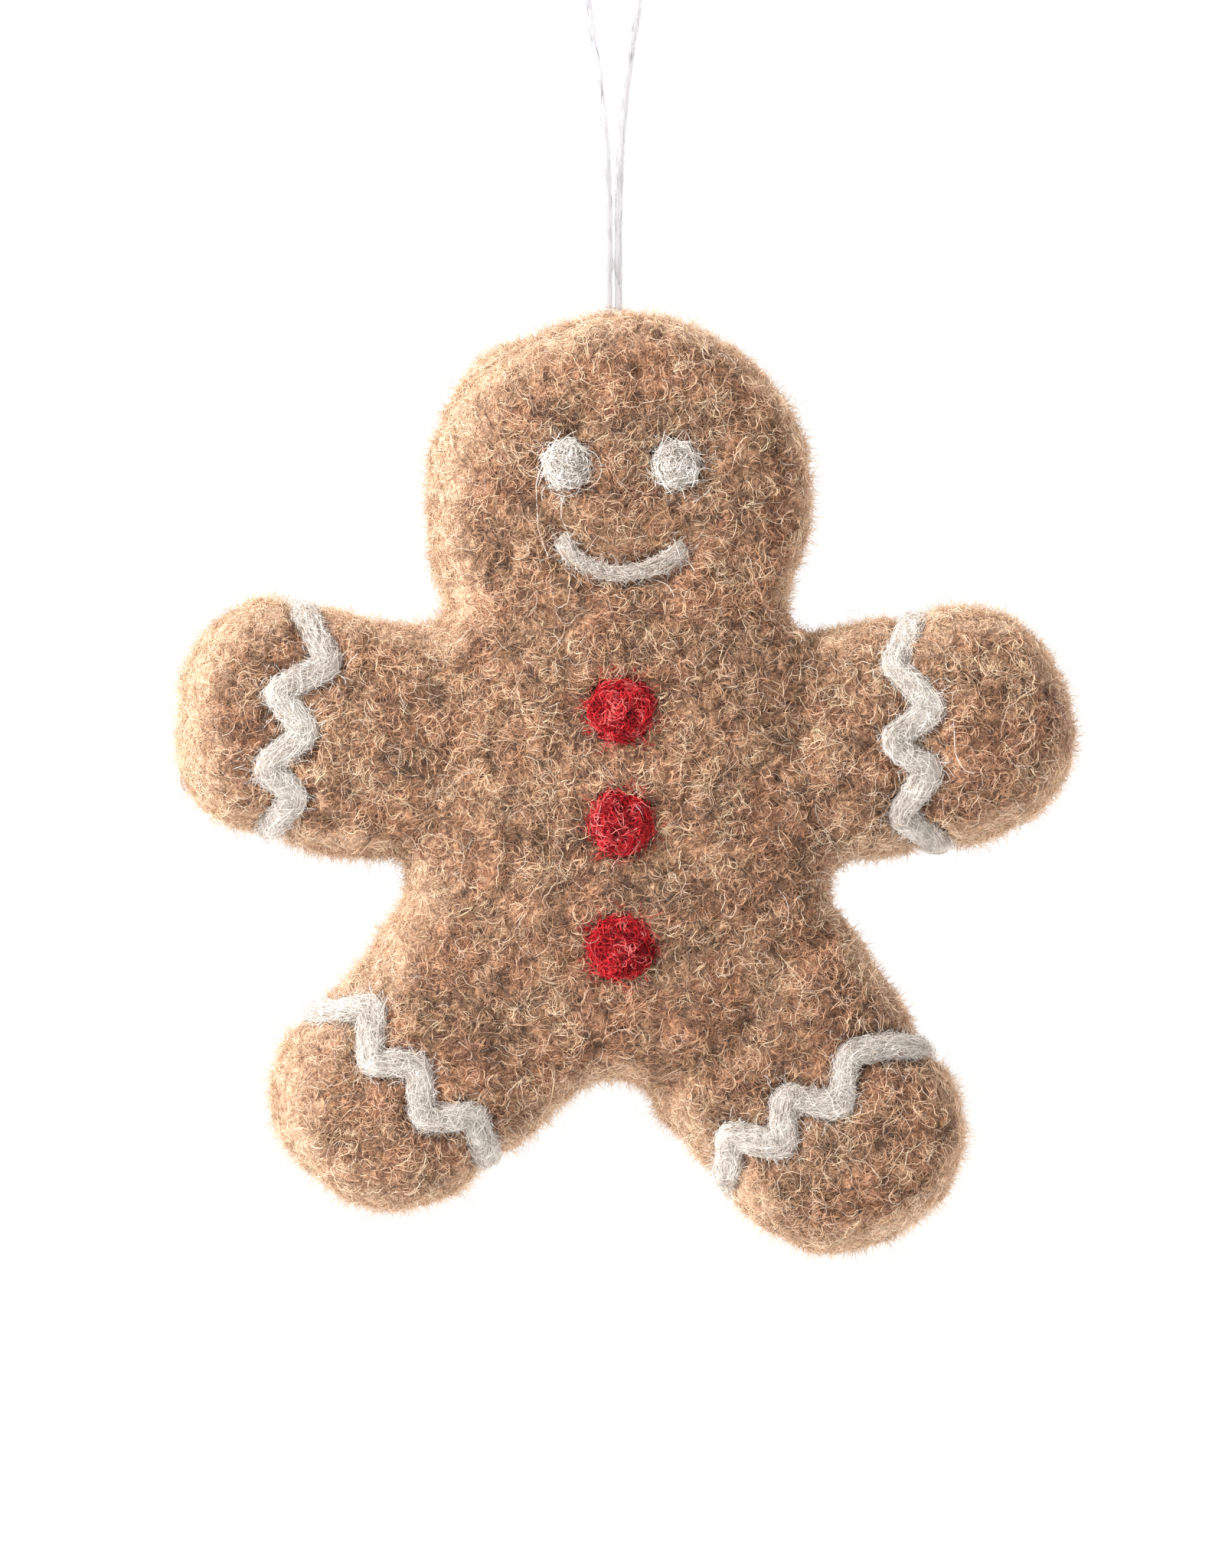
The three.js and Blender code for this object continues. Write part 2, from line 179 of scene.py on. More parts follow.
def hue_drift(paint, place, colour):
    """Wool blended from redder and yellower browns, in soft patches."""
    patch = paint.ranged(paint.noise(place, 0.14, 2.0, 0.5), 0.35, 0.65)
    tint = paint.mixed(patch, (1.03, 0.925, 0.845), (0.97, 0.975, 0.92))
    return paint.mixed(1.0, colour, tint, blend_type="MULTIPLY")


def felt_paint():
    paint = Paint("felt_base", **WOOL)
    place = paint.place()
    # The ground's dark stops are partly the felt's own dark ground and partly painted shade in the
    # pits that the bump sinks.
    pits = paint.noise(place, 1.0, 3.0, 0.6)
    ground = paint.ramp(pits, [
        (0.34, (0.07, 0.0289, 0.014)), (0.5, (0.22, 0.106, 0.0561)), (0.66, (0.42, 0.231, 0.136))])
    lines = paint.hairlines(place, 0.55, 0.055)
    for scale, width, shift in ((0.8, 0.07, 13.0), (1.15, 0.08, 31.0)):
        lines = paint.math("MAXIMUM", lines, paint.hairlines(place, scale, width, shift))
    fibres = paint.ramp(paint.noise(place, 1.7, 1.0), [
        (0.3, (0.36, 0.192, 0.108)), (0.7, (0.7, 0.443, 0.29))])
    front = hue_drift(paint, place, paint.mixed(lines, ground, fibres))
    # The paler rim colour is brushed felt and painted light, reaching in furthest at upper left and
    # below.
    rim = paint.ramp(paint.noise(place, 2.2, 3.0, 0.4), [
        (0.3, (0.54, 0.335, 0.21)), (0.7, (0.8, 0.565, 0.395))])
    paint.coloured(paint.mixed(rim_share(paint, place), front, rim))
    paint.bumped(paint.math("ADD", lines, pits), 0.14)
    return paint.material


# Patches of lighter and darker fibres, as (noise scale, share)
TONE_PATCHES = ((0.16, 0.7), (0.45, 1.0))


def strand_paint(name, stops, rim_and_light_stops=None, drifting=False, patches=TONE_PATCHES, **sockets):
    """Fibres that take their own tones, paler round the rims where rim colours are given: brushed
    felt, and painted light at upper left and below.
    """
    paint = Paint(name, **{**WOOL, **sockets})
    place = paint.place()
    tone = paint.node("Attribute", out="Fac", attribute_name="tone")
    for scale, share in patches:
        patch = paint.math("SUBTRACT", paint.noise(place, scale, 2.0, 0.3), 0.5)
        tone = paint.math("ADD", tone, paint.math("MULTIPLY", patch, share))
    colour = paint.ramp(tone, stops)
    if drifting:
        colour = hue_drift(paint, place, colour)
    if rim_and_light_stops:
        colour = paint.mixed(rim_share(paint, place), colour, paint.ramp(tone, rim_and_light_stops))
    paint.coloured(colour)
    return paint.material


BROWN = [(0.0, (0.065, 0.026, 0.0112)), (0.3, (0.265, 0.125, 0.0617)), (0.55, (0.52, 0.277, 0.156)),
         (0.78, (0.76, 0.471, 0.297)), (1.0, (0.96, 0.76, 0.561))]
# Paler rim browns: brushed felt, and painted light where the rims face the key light and the floor.
BROWN_RIM_BRUSHED_AND_LIT = [(0.0, (0.49, 0.29, 0.17)), (0.5, (0.77, 0.51, 0.32)), (1.0, (0.94, 0.76, 0.57))]
FUZZ = [(0.0, (0.62, 0.404, 0.271)), (1.0, (0.94, 0.77, 0.617))]
WHITE = [(0.0, (0.48, 0.415, 0.36)), (0.35, (0.78, 0.71, 0.65)), (0.7, (0.91, 0.855, 0.795)),
         (1.0, (0.98, 0.95, 0.91))]
THIN_WHITE = [(0.0, (0.4, 0.32, 0.26)), (0.5, (0.69, 0.6, 0.53)), (1.0, (0.92, 0.87, 0.82))]
RED = [(0.0, (0.12, 0.001, 0.003)), (0.4, (0.45, 0.007, 0.013)), (0.75, (0.8, 0.028, 0.04)),
       (1.0, (0.9, 0.24, 0.23))]
PINK = [(0.0, (0.8, 0.3, 0.28)), (1.0, (0.95, 0.6, 0.56))]


def mass_paint(name, dark, light):
    """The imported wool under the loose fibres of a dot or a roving."""
    paint = Paint(name, **WOOL)
    place = paint.place()
    pits = paint.noise(place, 0.9, 3.0, 0.5)
    lines = paint.hairlines(place, 0.9, 0.09, 5.0)
    # Partly painted shade: this tone darkens the colour where the bump sinks, besides giving the
    # wool its own uneven tone.
    tone = paint.math("ADD", paint.math("MULTIPLY", lines, 0.45), pits)
    paint.coloured(paint.ramp(tone, [(0.35, dark), (0.85, light)]))
    paint.bumped(tone, 0.12)
    return paint.material


# Meshes


def new_piece(name, points, corners, sizes, material, slot, body="figure"):
    mesh = bpy.data.meshes.new(name)
    mesh.vertices.add(len(points))
    mesh.vertices.foreach_set("co", (np.asarray(points, np.float32) * MM).ravel())
    mesh.loops.add(len(corners))
    mesh.loops.foreach_set("vertex_index", np.asarray(corners, np.int32))
    starts = np.concatenate([[0], np.cumsum(sizes)[:-1]])
    mesh.polygons.add(len(sizes))
    mesh.polygons.foreach_set("loop_start", starts.astype(np.int32))
    mesh.polygons.foreach_set("use_smooth", np.ones(len(sizes), bool))
    mesh.update(calc_edges=True)
    mesh.materials.append(material)
    piece = linked(name, mesh)
    if body:
        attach(piece, body)
    return piece


def unit(vectors):
    return vectors / np.maximum(np.linalg.norm(vectors, axis=-1, keepdims=True), 1e-9)


def joined(parts):
    """Forms as one. Each is its points, the corners of its faces, and any other arrays."""
    firsts = np.cumsum([0, *(len(part[0]) for part in parts)])
    moved = [(part[0], part[1] + first, *part[2:]) for part, first in zip(parts, firsts)]
    return [np.concatenate(same) for same in zip(*moved)]


def tube_faces(rings, sides, flipped=False):
    """The faces of a closed tube, whose points are a tip, its rings and the other tip."""
    last = 1 + (rings - 1) * sides
    corners, sizes = [], []
    for turn in range(sides):
        after = (turn + 1) % sides
        strip = [[0, 1 + turn, 1 + after]]
        strip += [[base + turn, base + sides + turn, base + sides + after, base + after]
                  for base in range(1, last, sides)]
        strip.append([last + sides, last + after, last + turn])
        for face in strip:
            corners += [face[0], *face[:0:-1]] if flipped else face
            sizes.append(len(face))
    return np.array(corners), np.array(sizes)


SIDES = 3
RING = np.radians(90 + 360 / SIDES * np.arange(SIDES))


def fibre_tubes(paths, ups, radii, tones):
    """Closed thin tubes along paths: points, corners, sizes, a place on a map for each corner,
    how many corners and points each fibre has, and a tone for each point."""
    count, rings = radii.shape
    along = unit(np.gradient(paths, axis=1))
    side = unit(np.cross(along, ups))
    up = np.cross(side, along)
    across = (np.cos(RING)[:, None] * side[:, 1:-1, None]
              + np.sin(RING)[:, None] * up[:, 1:-1, None])
    walls = paths[:, 1:-1, None] + radii[:, 1:-1, None, None] * across
    points = np.concatenate([paths[:, :1], walls.reshape(count, -1, 3), paths[:, -1:]], axis=1)
    shades = [tones[:, :1], np.repeat(tones[:, 1:-1], SIDES, axis=1), tones[:, -1:]]
    corners, sizes = tube_faces(rings - 2, SIDES)
    strip = [0.5, 0, 1, *(0, 0, 1, 1) * (rings - 3), 0.5, 1, 0]
    turn = np.tile(strip, SIDES) + np.repeat(np.arange(SIDES), len(strip))
    ring = (corners + SIDES - 1) // SIDES
    places = np.stack([ring / (rings - 1), turn / SIDES], axis=1)
    each = points.shape[1]
    return (points.reshape(-1, 3), (np.arange(count)[:, None] * each + corners).ravel(),
            np.tile(sizes, count), np.tile(places, (count, 1)), np.full(count, len(corners)),
            np.full(count, each), np.concatenate(shades, axis=1).ravel())


CELL_MARGIN, CELL_INSIDE = 0.15, 0.7


def fibre_piece(name, batches, material, slot):
    """One piece of many fibres. Each fibre has a cell of its own on the piece's map."""
    points, corners, sizes, places, corner_counts, point_counts, tones = joined(
        [fibre_tubes(*batch) for batch in batches])
    total = len(corner_counts)
    grid = math.ceil(math.sqrt(total))
    fibre = np.repeat(np.arange(total), corner_counts)
    cell = np.stack([fibre % grid, fibre // grid], axis=1)
    piece = new_piece(name, points, corners, sizes, material, slot)
    layer = piece.data.uv_layers.new(name="OFBake", do_init=False)
    places = (cell + CELL_MARGIN + CELL_INSIDE * places) / grid
    layer.uv.foreach_set("vector", places.astype(np.float32).ravel())
    add_shade(piece, "tone", tones)
    # The rim share carries painted light at upper left and below, for the fibres' paler rim colour.
    if slot == "brown_felt":
        roots = np.concatenate([batch[0][:, 0] for batch in batches])
        add_shade(piece, "rim", np.repeat(rims_and_painted_light_at(roots), point_counts))


def brown_piece(name, batch, chosen=slice(None)):
    """One piece of the felt's fibres: a batch, or those that are chosen."""
    fibre_piece(name, [tuple(part[chosen] for part in batch)], brown_strands, "brown_felt")


def add_shade(piece, name, values):
    """A number at each point of a piece, which its material reads."""
    shade = piece.data.attributes.new(name, "FLOAT", "POINT")
    shade.data.foreach_set("value", values.astype(np.float32))


def read(items, name, kind=np.float32):
    values = np.empty(len(items) * 3, kind)
    items.foreach_get(name, values)
    return values.reshape(-1, 3)


def arrays(mesh):
    """A mesh's points in millimetres and its triangles."""
    mesh.calc_loop_triangles()
    return (read(mesh.vertices, "co").astype(float) / MM,
            read(mesh.loop_triangles, "vertices", np.int32))


def tree_of(points, faces):
    return BVHTree.FromPolygons(points.tolist(), faces.tolist())


def settle(places, tree):
    """The nearest points of a surface, with its normals there."""
    found = [tree.find_nearest(place)[:2] for place in places.tolist()]
    return [np.array(part) for part in zip(*found)]


def bundled(places, headings, bundle, tree):
    """Each place repeated, a little aside each time."""
    places, headings = (np.repeat(a, bundle, axis=0) for a in (places, headings))
    places, normals = settle(places + 0.1 * rng.normal(size=places.shape), tree)
    return places, normals, unit(headings + 0.12 * rng.normal(size=headings.shape))


def scattered(surface, count, weight):
    """Places spread over a surface, with its normals there."""
    points, faces = surface
    a, b, c = (points[faces[:, i]] for i in range(3))
    cross = np.cross(b - a, c - a)
    size = np.linalg.norm(cross, axis=1)
    share = size * weight((a + b + c) / 3, cross / size[:, None])
    chosen = rng.choice(len(faces), count, p=share / share.sum())
    u, v = rng.random((2, count, 1))
    u, v = np.where(u + v > 1, 1 - u, u), np.where(u + v > 1, 1 - v, v)
    place = a[chosen] + u * (b - a)[chosen] + v * (c - a)[chosen]
    return place, unit(cross[chosen])


def flat(headings, normals):
    """Headings laid flat on a surface."""
    return unit(headings - (headings * normals).sum(1, keepdims=True) * normals)


def creep(places, normals, headings, turns, step, tree):
    """Paths that creep over a surface, turning as they go, and its normals."""
    headings = flat(headings, normals)
    path, ups = [places], [normals]
    for turn in turns.T:
        turn = turn[:, None]
        headings = headings * np.cos(turn) + np.cross(normals, headings) * np.sin(turn)
        places, normals = settle(places + headings * step[:, None], tree)
        headings = flat(headings, normals)
        path.append(places)
        ups.append(normals)
    return np.stack(path, axis=1), np.stack(ups, axis=1)


def spread(low, high, count):
    return rng.uniform(low, high, count)


def steady(low, high, count, rings):
    """A number for each fibre, the same at all of its rings."""
    return np.repeat(spread(low, high, count)[:, None], rings, axis=1)


def either_side(count):
    return rng.choice([-1, 1], count)


def any_way(normals):
    return unit(rng.normal(size=normals.shape))


def any_heading(normals):
    return unit(np.cross(normals, any_way(normals)))


def noise_at(places, scale, shift=0.0):
    """Smooth noise at many places, from about -1 to 1."""
    away = Vector((shift, -shift, 2 * shift))
    return np.array([noise.noise(Vector(place) * scale + away) for place in places.tolist()])


def swirled(places, normals):
    """Headings that drift from place to place, as wool lies in locks."""
    drift = np.array([noise.noise_vector(Vector(place) * 0.13) for place in places.tolist()])
    return unit(np.cross(normals, drift))


def curls(places, normals, headings, length, curl, lift, radius, rings, tree, bundle=1,
          shades=(0, 1)):
    """Loose curly fibres on a surface: how long, how curled, how high, how thick, how light.

    Fibres that follow each other in the arrays lie alike, a bundle at a time.
    """
    count = len(places)
    few = math.ceil(count / bundle)

    def alike(low, high, stray=0.12):
        shared = np.repeat(spread(low, high, few), bundle)[:count]
        return (shared + stray * (high - low) * rng.normal(size=count))[:, None]

    step = np.maximum(alike(*length), 0.4 * length[0])[:, 0] / (rings - 1)
    bend = np.repeat(either_side(few), bundle)[:count, None] * alike(*curl)
    along = np.linspace(0, 1, rings - 1)
    sway = alike(0.3, 1.2) * np.sin(2 * np.pi * (alike(0.4, 1.4) * along + alike(0, 1, 0.04)))
    paths, ups = creep(places, normals, headings, (bend + sway) * step[:, None], step, tree)
    across = np.linspace(0, 1, rings)
    rise = np.abs(np.sin(np.pi * (alike(0.6, 1.9) * across + alike(0, 1, 0.06))))
    height = alike(*lift, 0.2) * rise - 0.03
    thick = steady(*radius, count, rings)
    # Painted shade: a fibre's tone darkens where it dips down to the felt and lightens where it
    # rises.
    tone = alike(*shades) + 0.22 * (rise - 0.6)
    return paths + height[..., None] * ups, ups, thick, tone


def bent_hairs(roots, leans, bends, lengths, curve, rings):
    """The paths and sides of hairs that lean one way and bend another way."""
    share = np.linspace(0, 1, rings)[None, :, None]
    paths = roots[:, None] + lengths[:, None, None] * (
        share * leans[:, None] + curve * share**2 * bends[:, None])
    return paths, np.repeat(unit(np.cross(leans, bends))[:, None], rings, axis=1)


# The stage


def add_stage():
    size, drop = 4000, -260
    floor = bpy.data.meshes.new("floor")
    floor.from_pydata([(x * size * MM, y * size * MM, drop * MM)
                       for x, y in ((-1, -1), (1, -1), (1, 1), (-1, 1))], [], [(0, 1, 2, 3)])
    paint = Paint("floor_paint", Roughness=0.9)
    grain = paint.noise(paint.place(), 0.02, 2.0)
    paint.coloured(paint.mixed(grain, (0.9, 0.9, 0.9), (0.94, 0.94, 0.94)))
    floor.materials.append(paint.material)
    piece = linked("floor", floor)


def add_light(name, kind, toward, colour, away=1.0, **settings):
    """A light that shines on the figure from a direction."""
    light = linked(name, given(bpy.data.lights.new(name, kind), {"color": colour, **settings}))
    toward = Vector(toward).normalized()
    light.location = (Vector(AIM) + away * toward) * MM
    light.rotation_euler = toward.to_track_quat("Z", "Y").to_euler()


def add_world(seen, ambient):
    """A white room: bright where the camera sees it, softer as a light."""
    scene.world = bpy.data.worlds.new("world")
    scene.world.use_nodes = True
    nodes, links = scene.world.node_tree.nodes, scene.world.node_tree.links
    mix = nodes.new("ShaderNodeMixShader")
    rooms = (nodes["Background"], ambient), (nodes.new("ShaderNodeBackground"), seen)
    for number, (room, strength) in enumerate(rooms, 1):
        room.inputs["Strength"].default_value = strength
        room.inputs["Color"].default_value = (1, 1, 1, 1)
        links.new(room.outputs[0], mix.inputs[number])
    links.new(nodes.new("ShaderNodeLightPath").outputs["Is Camera Ray"], mix.inputs[0])
    links.new(mix.outputs[0], nodes["World Output"].inputs["Surface"])


add_stage()
add_light("key", "AREA", (-0.72, -0.46, 0.52), (1.0, 0.985, 0.965), away=700, energy=8.7,
          size=0.26)
add_light("side", "SUN", (-0.95, 0.2, 0.15), (1.0, 0.95, 0.9), energy=0.8, angle=0.7)
add_light("back", "SUN", (0.8, 0.55, 0.15), (1.0, 0.97, 0.95), energy=3.5, angle=0.87)
add_light("top", "SUN", (0.05, 0.35, 1.0), (1.0, 0.98, 0.96), energy=1.7, angle=1.0)
add_world(1.15, 0.4)


# The thread: the loop's route, as (across, height) from the crown to the top

LOOP_SIDE = [(0.7, -45.85), (0.66, -44.5), (0.62, -42), (0.62, -38), (0.67, -34), (0.78, -29.5),
             (1.0, -25), (1.36, -21), (1.8, -17), (2.36, -13), (2.94, -9.4), (3.4, -6.2),
             (3.6, -3.1)]
LOOP_RADIUS = 3.6
THREAD = 1.0
THREAD_TWIST = 0.55
THREAD_END = 0.85
THREAD_STEP = 0.3
ANGLES = np.linspace(0, 2 * np.pi, 20, endpoint=False)
ROUND = np.stack([np.cos(ANGLES), np.sin(ANGLES)])
FLOSS, FLOSS_RADIUS, FLOSS_RINGS = 260, 0.022, 7
CROWN_HINGE = -45.55
KNOT_HEIGHT = -53.9


def run_along(line):
    """How far along a line each of its points is."""
    return np.concatenate([[0], np.cumsum(np.linalg.norm(np.diff(line, axis=0), axis=1))])


def sampled(at, run, values):
    """A line's points or directions at some distances along it."""
    return np.stack([np.interp(at, run, values[:, k]) for k in range(3)], axis=-1)


def smoothed_route(route, step):
    """Points a step apart on a smooth curve through a route."""
    line = np.array(route, float)
    line = np.concatenate([2 * line[:1] - line[1:2], line, 2 * line[-1:] - line[-2:-1]])
    fine = []
    for a, b, c, d in zip(line, line[1:], line[2:], line[3:]):
        t = np.linspace(0, 1, 12, endpoint=False)[:, None]
        fine.append(0.5 * (2 * b + (c - a) * t + (2 * a - 5 * b + 4 * c - d) * t**2
                           + (3 * b - a - 3 * c + d) * t**3))
    fine = np.concatenate([*fine, line[-2:-1]])
    run = run_along(fine)
    at = np.linspace(0, run[-1], max(2, round(run[-1] / step) + 1))
    return sampled(at, run, fine), at


def thread_tube(line, ups, at, slim=1.0):
    """Two plies laid round each other, as one closed tube along a line."""
    along = unit(np.gradient(line, axis=0))
    side = unit(np.cross(along, ups))
    up = np.cross(side, along)
    rings = []
    for i in range(len(line)):
        lobe = 1.02 + 0.07 * np.cos(2 * (ANGLES - THREAD_TWIST * at[i]))
        across, rise = THREAD / 2 * lobe * slim * ROUND
        rings.append(line[i] + across[:, None] * side[i] + rise[:, None] * up[i])
    return np.concatenate([line[:1], *rings, line[-1:]]), *tube_faces(len(line), len(ANGLES))


def thread_paint():
    paint = Paint("thread_paint", Roughness=0.6, Specular_IOR_Level=0.2, Subsurface_Weight=1.0,
                  Subsurface_Scale=6 * THREAD * MM, Subsurface_Radius=(1.0, 1.0, 1.0))
    place = paint.place()
    stretched = paint.node("VectorMath", {0: place, 1: (6.0, 6.0, 0.35)}, operation="MULTIPLY")
    floss = paint.noise(stretched, 1.0, 3.0, 0.2)
    # Painted shade: the right-hand strand, at higher X, takes the darker colours, as if shadowed by
    # the left one.
    right_strand_painted_shade = paint.ranged(paint.node("SeparateXYZ", {0: place}, out="X"), -0.3, 0.3)
    paint.coloured(paint.mixed(
        right_strand_painted_shade, paint.ramp(floss, [(0.3, (0.24, 0.23, 0.248)), (0.7, (0.33, 0.32, 0.34))]),
        paint.ramp(floss, [(0.3, (0.2, 0.192, 0.203)), (0.7, (0.29, 0.282, 0.298))])))
    paint.bumped(floss, 0.05)
    return paint.material


def loop_route():
    side = [(x, 0.0, z) for x, z in LOOP_SIDE]
    rise = THREAD / 2 - LOOP_RADIUS
    top = [(LOOP_RADIUS * math.cos(math.pi * k / 6), 0.0,
            rise + LOOP_RADIUS * math.sin(math.pi * k / 6)) for k in range(1, 6)]
    return side + top + [(-x, y, z) for x, y, z in reversed(side)]


thread_material = thread_paint()


def add_loop():
    line, at = smoothed_route(loop_route(), THREAD_STEP)
    end = [0.0, 0.0, -THREAD_END]
    inside = np.concatenate([line[:1] + end, line, line[-1:] + end])
    tube = thread_tube(inside, FRONT, np.concatenate([at[:1], at, at[-1:]]))
    chosen = rng.integers(8, len(line) - 16, FLOSS)
    share = np.linspace(0, 1, FLOSS_RINGS)
    angle = rng.random((FLOSS, 1)) * 2 * np.pi + share * spread(-1, 1, FLOSS)[:, None]
    away = 0.5 + spread(0, 0.2, FLOSS)[:, None] * np.abs(np.sin(
        share * np.pi * spread(0.5, 1.2, FLOSS)[:, None]))
    out = np.stack([np.cos(angle), np.sin(angle), np.zeros_like(angle)], axis=-1)
    paths = line[chosen[:, None] + np.arange(FLOSS_RINGS)] + away[..., None] * out
    floss = fibre_tubes(paths, out, np.full(away.shape, FLOSS_RADIUS), np.ones(away.shape))[:3]
    loop = new_piece("hanging_loop", *joined([tube, floss]), thread_material, "thread", None)
    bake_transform(loop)
    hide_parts("loop_bend", "left_strand", "right_strand")


def add_knot():
    """The thread's ends below the loop, and their overhand knot in the head."""
    parts = []
    for x in (0.7, -0.7):
        line, at = smoothed_route([(x, 0, CROWN_HINGE + 2), (x, 0, -48), (x * 0.6, 0, -52.6)],
                                  THREAD_STEP)
        parts.append(thread_tube(line, FRONT, at, 0.7))
    angle = np.linspace(0, 2 * np.pi, 61)[:-1]
    knot = np.stack([0.42 * (np.sin(angle) + 2 * np.sin(2 * angle)),
                     0.42 * (np.cos(angle) - 2 * np.cos(2 * angle)),
                     KNOT_HEIGHT - 0.75 * np.sin(3 * angle)], axis=1)
    parts.append(thread_tube(knot, unit(knot - [0, 0, KNOT_HEIGHT]),
                             np.arange(len(knot)) * THREAD_STEP))
    piece = new_piece("thread_knot", *joined(parts), thread_material, "thread", None)
    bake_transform(piece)
    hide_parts("anchor_knot")


add_loop()
add_knot()


# The felt body

SEGMENTS = ("head", "torso", "left_arm", "right_arm", "left_leg", "right_leg")
# How far the forms are grown to fill their creases, and how proud the felt then stands
FILL = 2.0
FELT_PROUD = 0.15


def taken(form, place):
    """The points and triangles of a bmesh, which is freed."""
    points = np.array([place(vertex) for vertex in form.verts])
    faces = np.array([[vertex.index for vertex in face.verts] for face in form.faces])
    form.free()
    return points, faces


def ball(subdivisions, radius, place=lambda vertex: vertex.co):
    form = bmesh.new()
    bmesh.ops.create_icosphere(form, subdivisions=subdivisions, radius=radius)
    return taken(form, place)


def in_pocket(vertex):
    """For a ball that fills the knot's pocket in the head, so that the felt is solid."""
    x, y, z = vertex.co
    return x, y, z * 1.1 + KNOT_HEIGHT + (5.0 if z > 0 else 0)


def grown_body(voxel, smoothing, name):
    """The six felt forms grown into one, their creases filled: points, faces, normals."""
    forms = []
    for segment in SEGMENTS:
        form = bmesh.new()
        form.from_mesh(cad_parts[segment].data)
        bmesh.ops.remove_doubles(form, verts=form.verts, dist=0.01 * MM)
        bmesh.ops.recalc_face_normals(form, faces=form.faces)
        form.normal_update()
        forms.append(taken(form, lambda vertex: vertex.co / MM + vertex.normal * FILL))
    points, faces = joined([*forms, ball(3, 2.4, in_pocket)])
    mesh = bpy.data.meshes.new(name)
    mesh.from_pydata((points * MM).tolist(), [], faces.tolist())
    rough = linked(name, mesh)
    voxels = {"mode": "VOXEL", "voxel_size": voxel * MM, "adaptivity": 0}
    for kind, settings in (
            ("REMESH", voxels), ("SMOOTH", {"factor": 0.5, "iterations": smoothing}),
            ("DISPLACE", {"strength": (FELT_PROUD - FILL) * MM, "mid_level": 0}),
            ("REMESH", voxels), ("SMOOTH", {"factor": 0.5, "iterations": 4})):
        given(rough.modifiers.new(kind, kind), settings)
    made = bpy.data.meshes.new_from_object(
        rough.evaluated_get(bpy.context.evaluated_depsgraph_get()))
    bpy.data.objects.remove(rough)
    return *arrays(made), read(made.vertices, "normal").astype(float)


# Where the felt swells or is drawn in: across, height, reach and amount, in millimetres
SHAPING = [
    (-8.6, -48.2, 5, -1.0), (-16.5, -51.5, 4.5, 0.7), (15, -51.5, 8, -0.7), (23.7, -65, 10, -0.5),
    (21.8, -80.9, 5, -1.0), (-22.6, -62.2, 8, -0.4), (-21.6, -76.2, 5, 0.5),
    (-53.4, -96.8, 7, -0.6), (-50.6, -105.2, 6, -0.8), (-44, -109.9, 6, -0.8),
    (-41.3, -81.4, 5, 0.4), (-30, -83.2, 5, -0.4), (-23.5, -84.2, 3.5, 0.5), (-31, -112.7, 6, 0.4),
    (-25.8, -115, 4, -1.1), (-32.4, -125.8, 5.5, -1.5), (-27.2, -155.7, 8, -0.7),
    (-17, -152.9, 6, -0.8), (-36.1, -151.5, 5, -0.6), (42.9, -82, 6, -0.3), (55, -90.3, 8, -0.6),
    (48.5, -109.9, 6, -1.2), (27, -116.4, 4.5, -1.2), (32.6, -125.8, 6, -1.0),
    (41.9, -144.5, 6, 0.5), (26, -160.8, 8, -0.5), (18.6, -157.6, 6, -0.5), (8.3, -147.3, 5, -0.5),
    (0, -139.8, 3, -0.7)]


def shaped(points, normals):
    """The felt's rims pushed and pulled by hand, as a felting needle leaves them."""
    push = np.zeros(len(points))
    for across, height, reach, amount in SHAPING:
        away = (points[:, 0] - across) ** 2 + (points[:, 2] - height) ** 2
        push += amount * np.exp(-away / reach**2)
    return points + push[:, None] * normals * [1, 0.25, 1]


plain_points, plain_faces, plain_normals = grown_body(1.2, 20, "plain_body")
plain_points = shaped(plain_points, plain_normals)
plain_tree = tree_of(plain_points, plain_faces)
outline = plain_points[np.abs(plain_points[:, 1]) < 0.8] * [1, 0, 1]
outline_tree = KDTree(len(outline))
for number, point in enumerate(outline.tolist()):
    outline_tree.insert(point, number)
outline_tree.balance()


def to_outline(places):
    """In the front view, how far places are from the outline, and the way to it."""
    level = places * [1, 0, 1]
    nearest = np.array([outline_tree.find(place)[1] for place in level.tolist()])
    away = outline[nearest] - level
    return np.linalg.norm(away, axis=1), unit(away)


def rims_and_painted_light_at(places):
    """0 on the front and back, 1 round the rims: brushed felt, and painted light that reaches
    furthest in at upper left, towards the key light, and further on edges facing down, where floor
    light falls.
    """
    gaps, ways = to_outline(places)
    # Painted light: the pale zone widens towards the key light at upper left and along edges that
    # face down.
    upper_left = np.clip(ways @ [-0.88, 0, 0.47], 0, 1)
    reach = 1 + 3 * upper_left + 0.7 * np.clip(-ways[:, 2], 0, 1)
    return np.clip((reach - gaps) / (2.9 + 5 * upper_left) + 0.5, 0, 1)


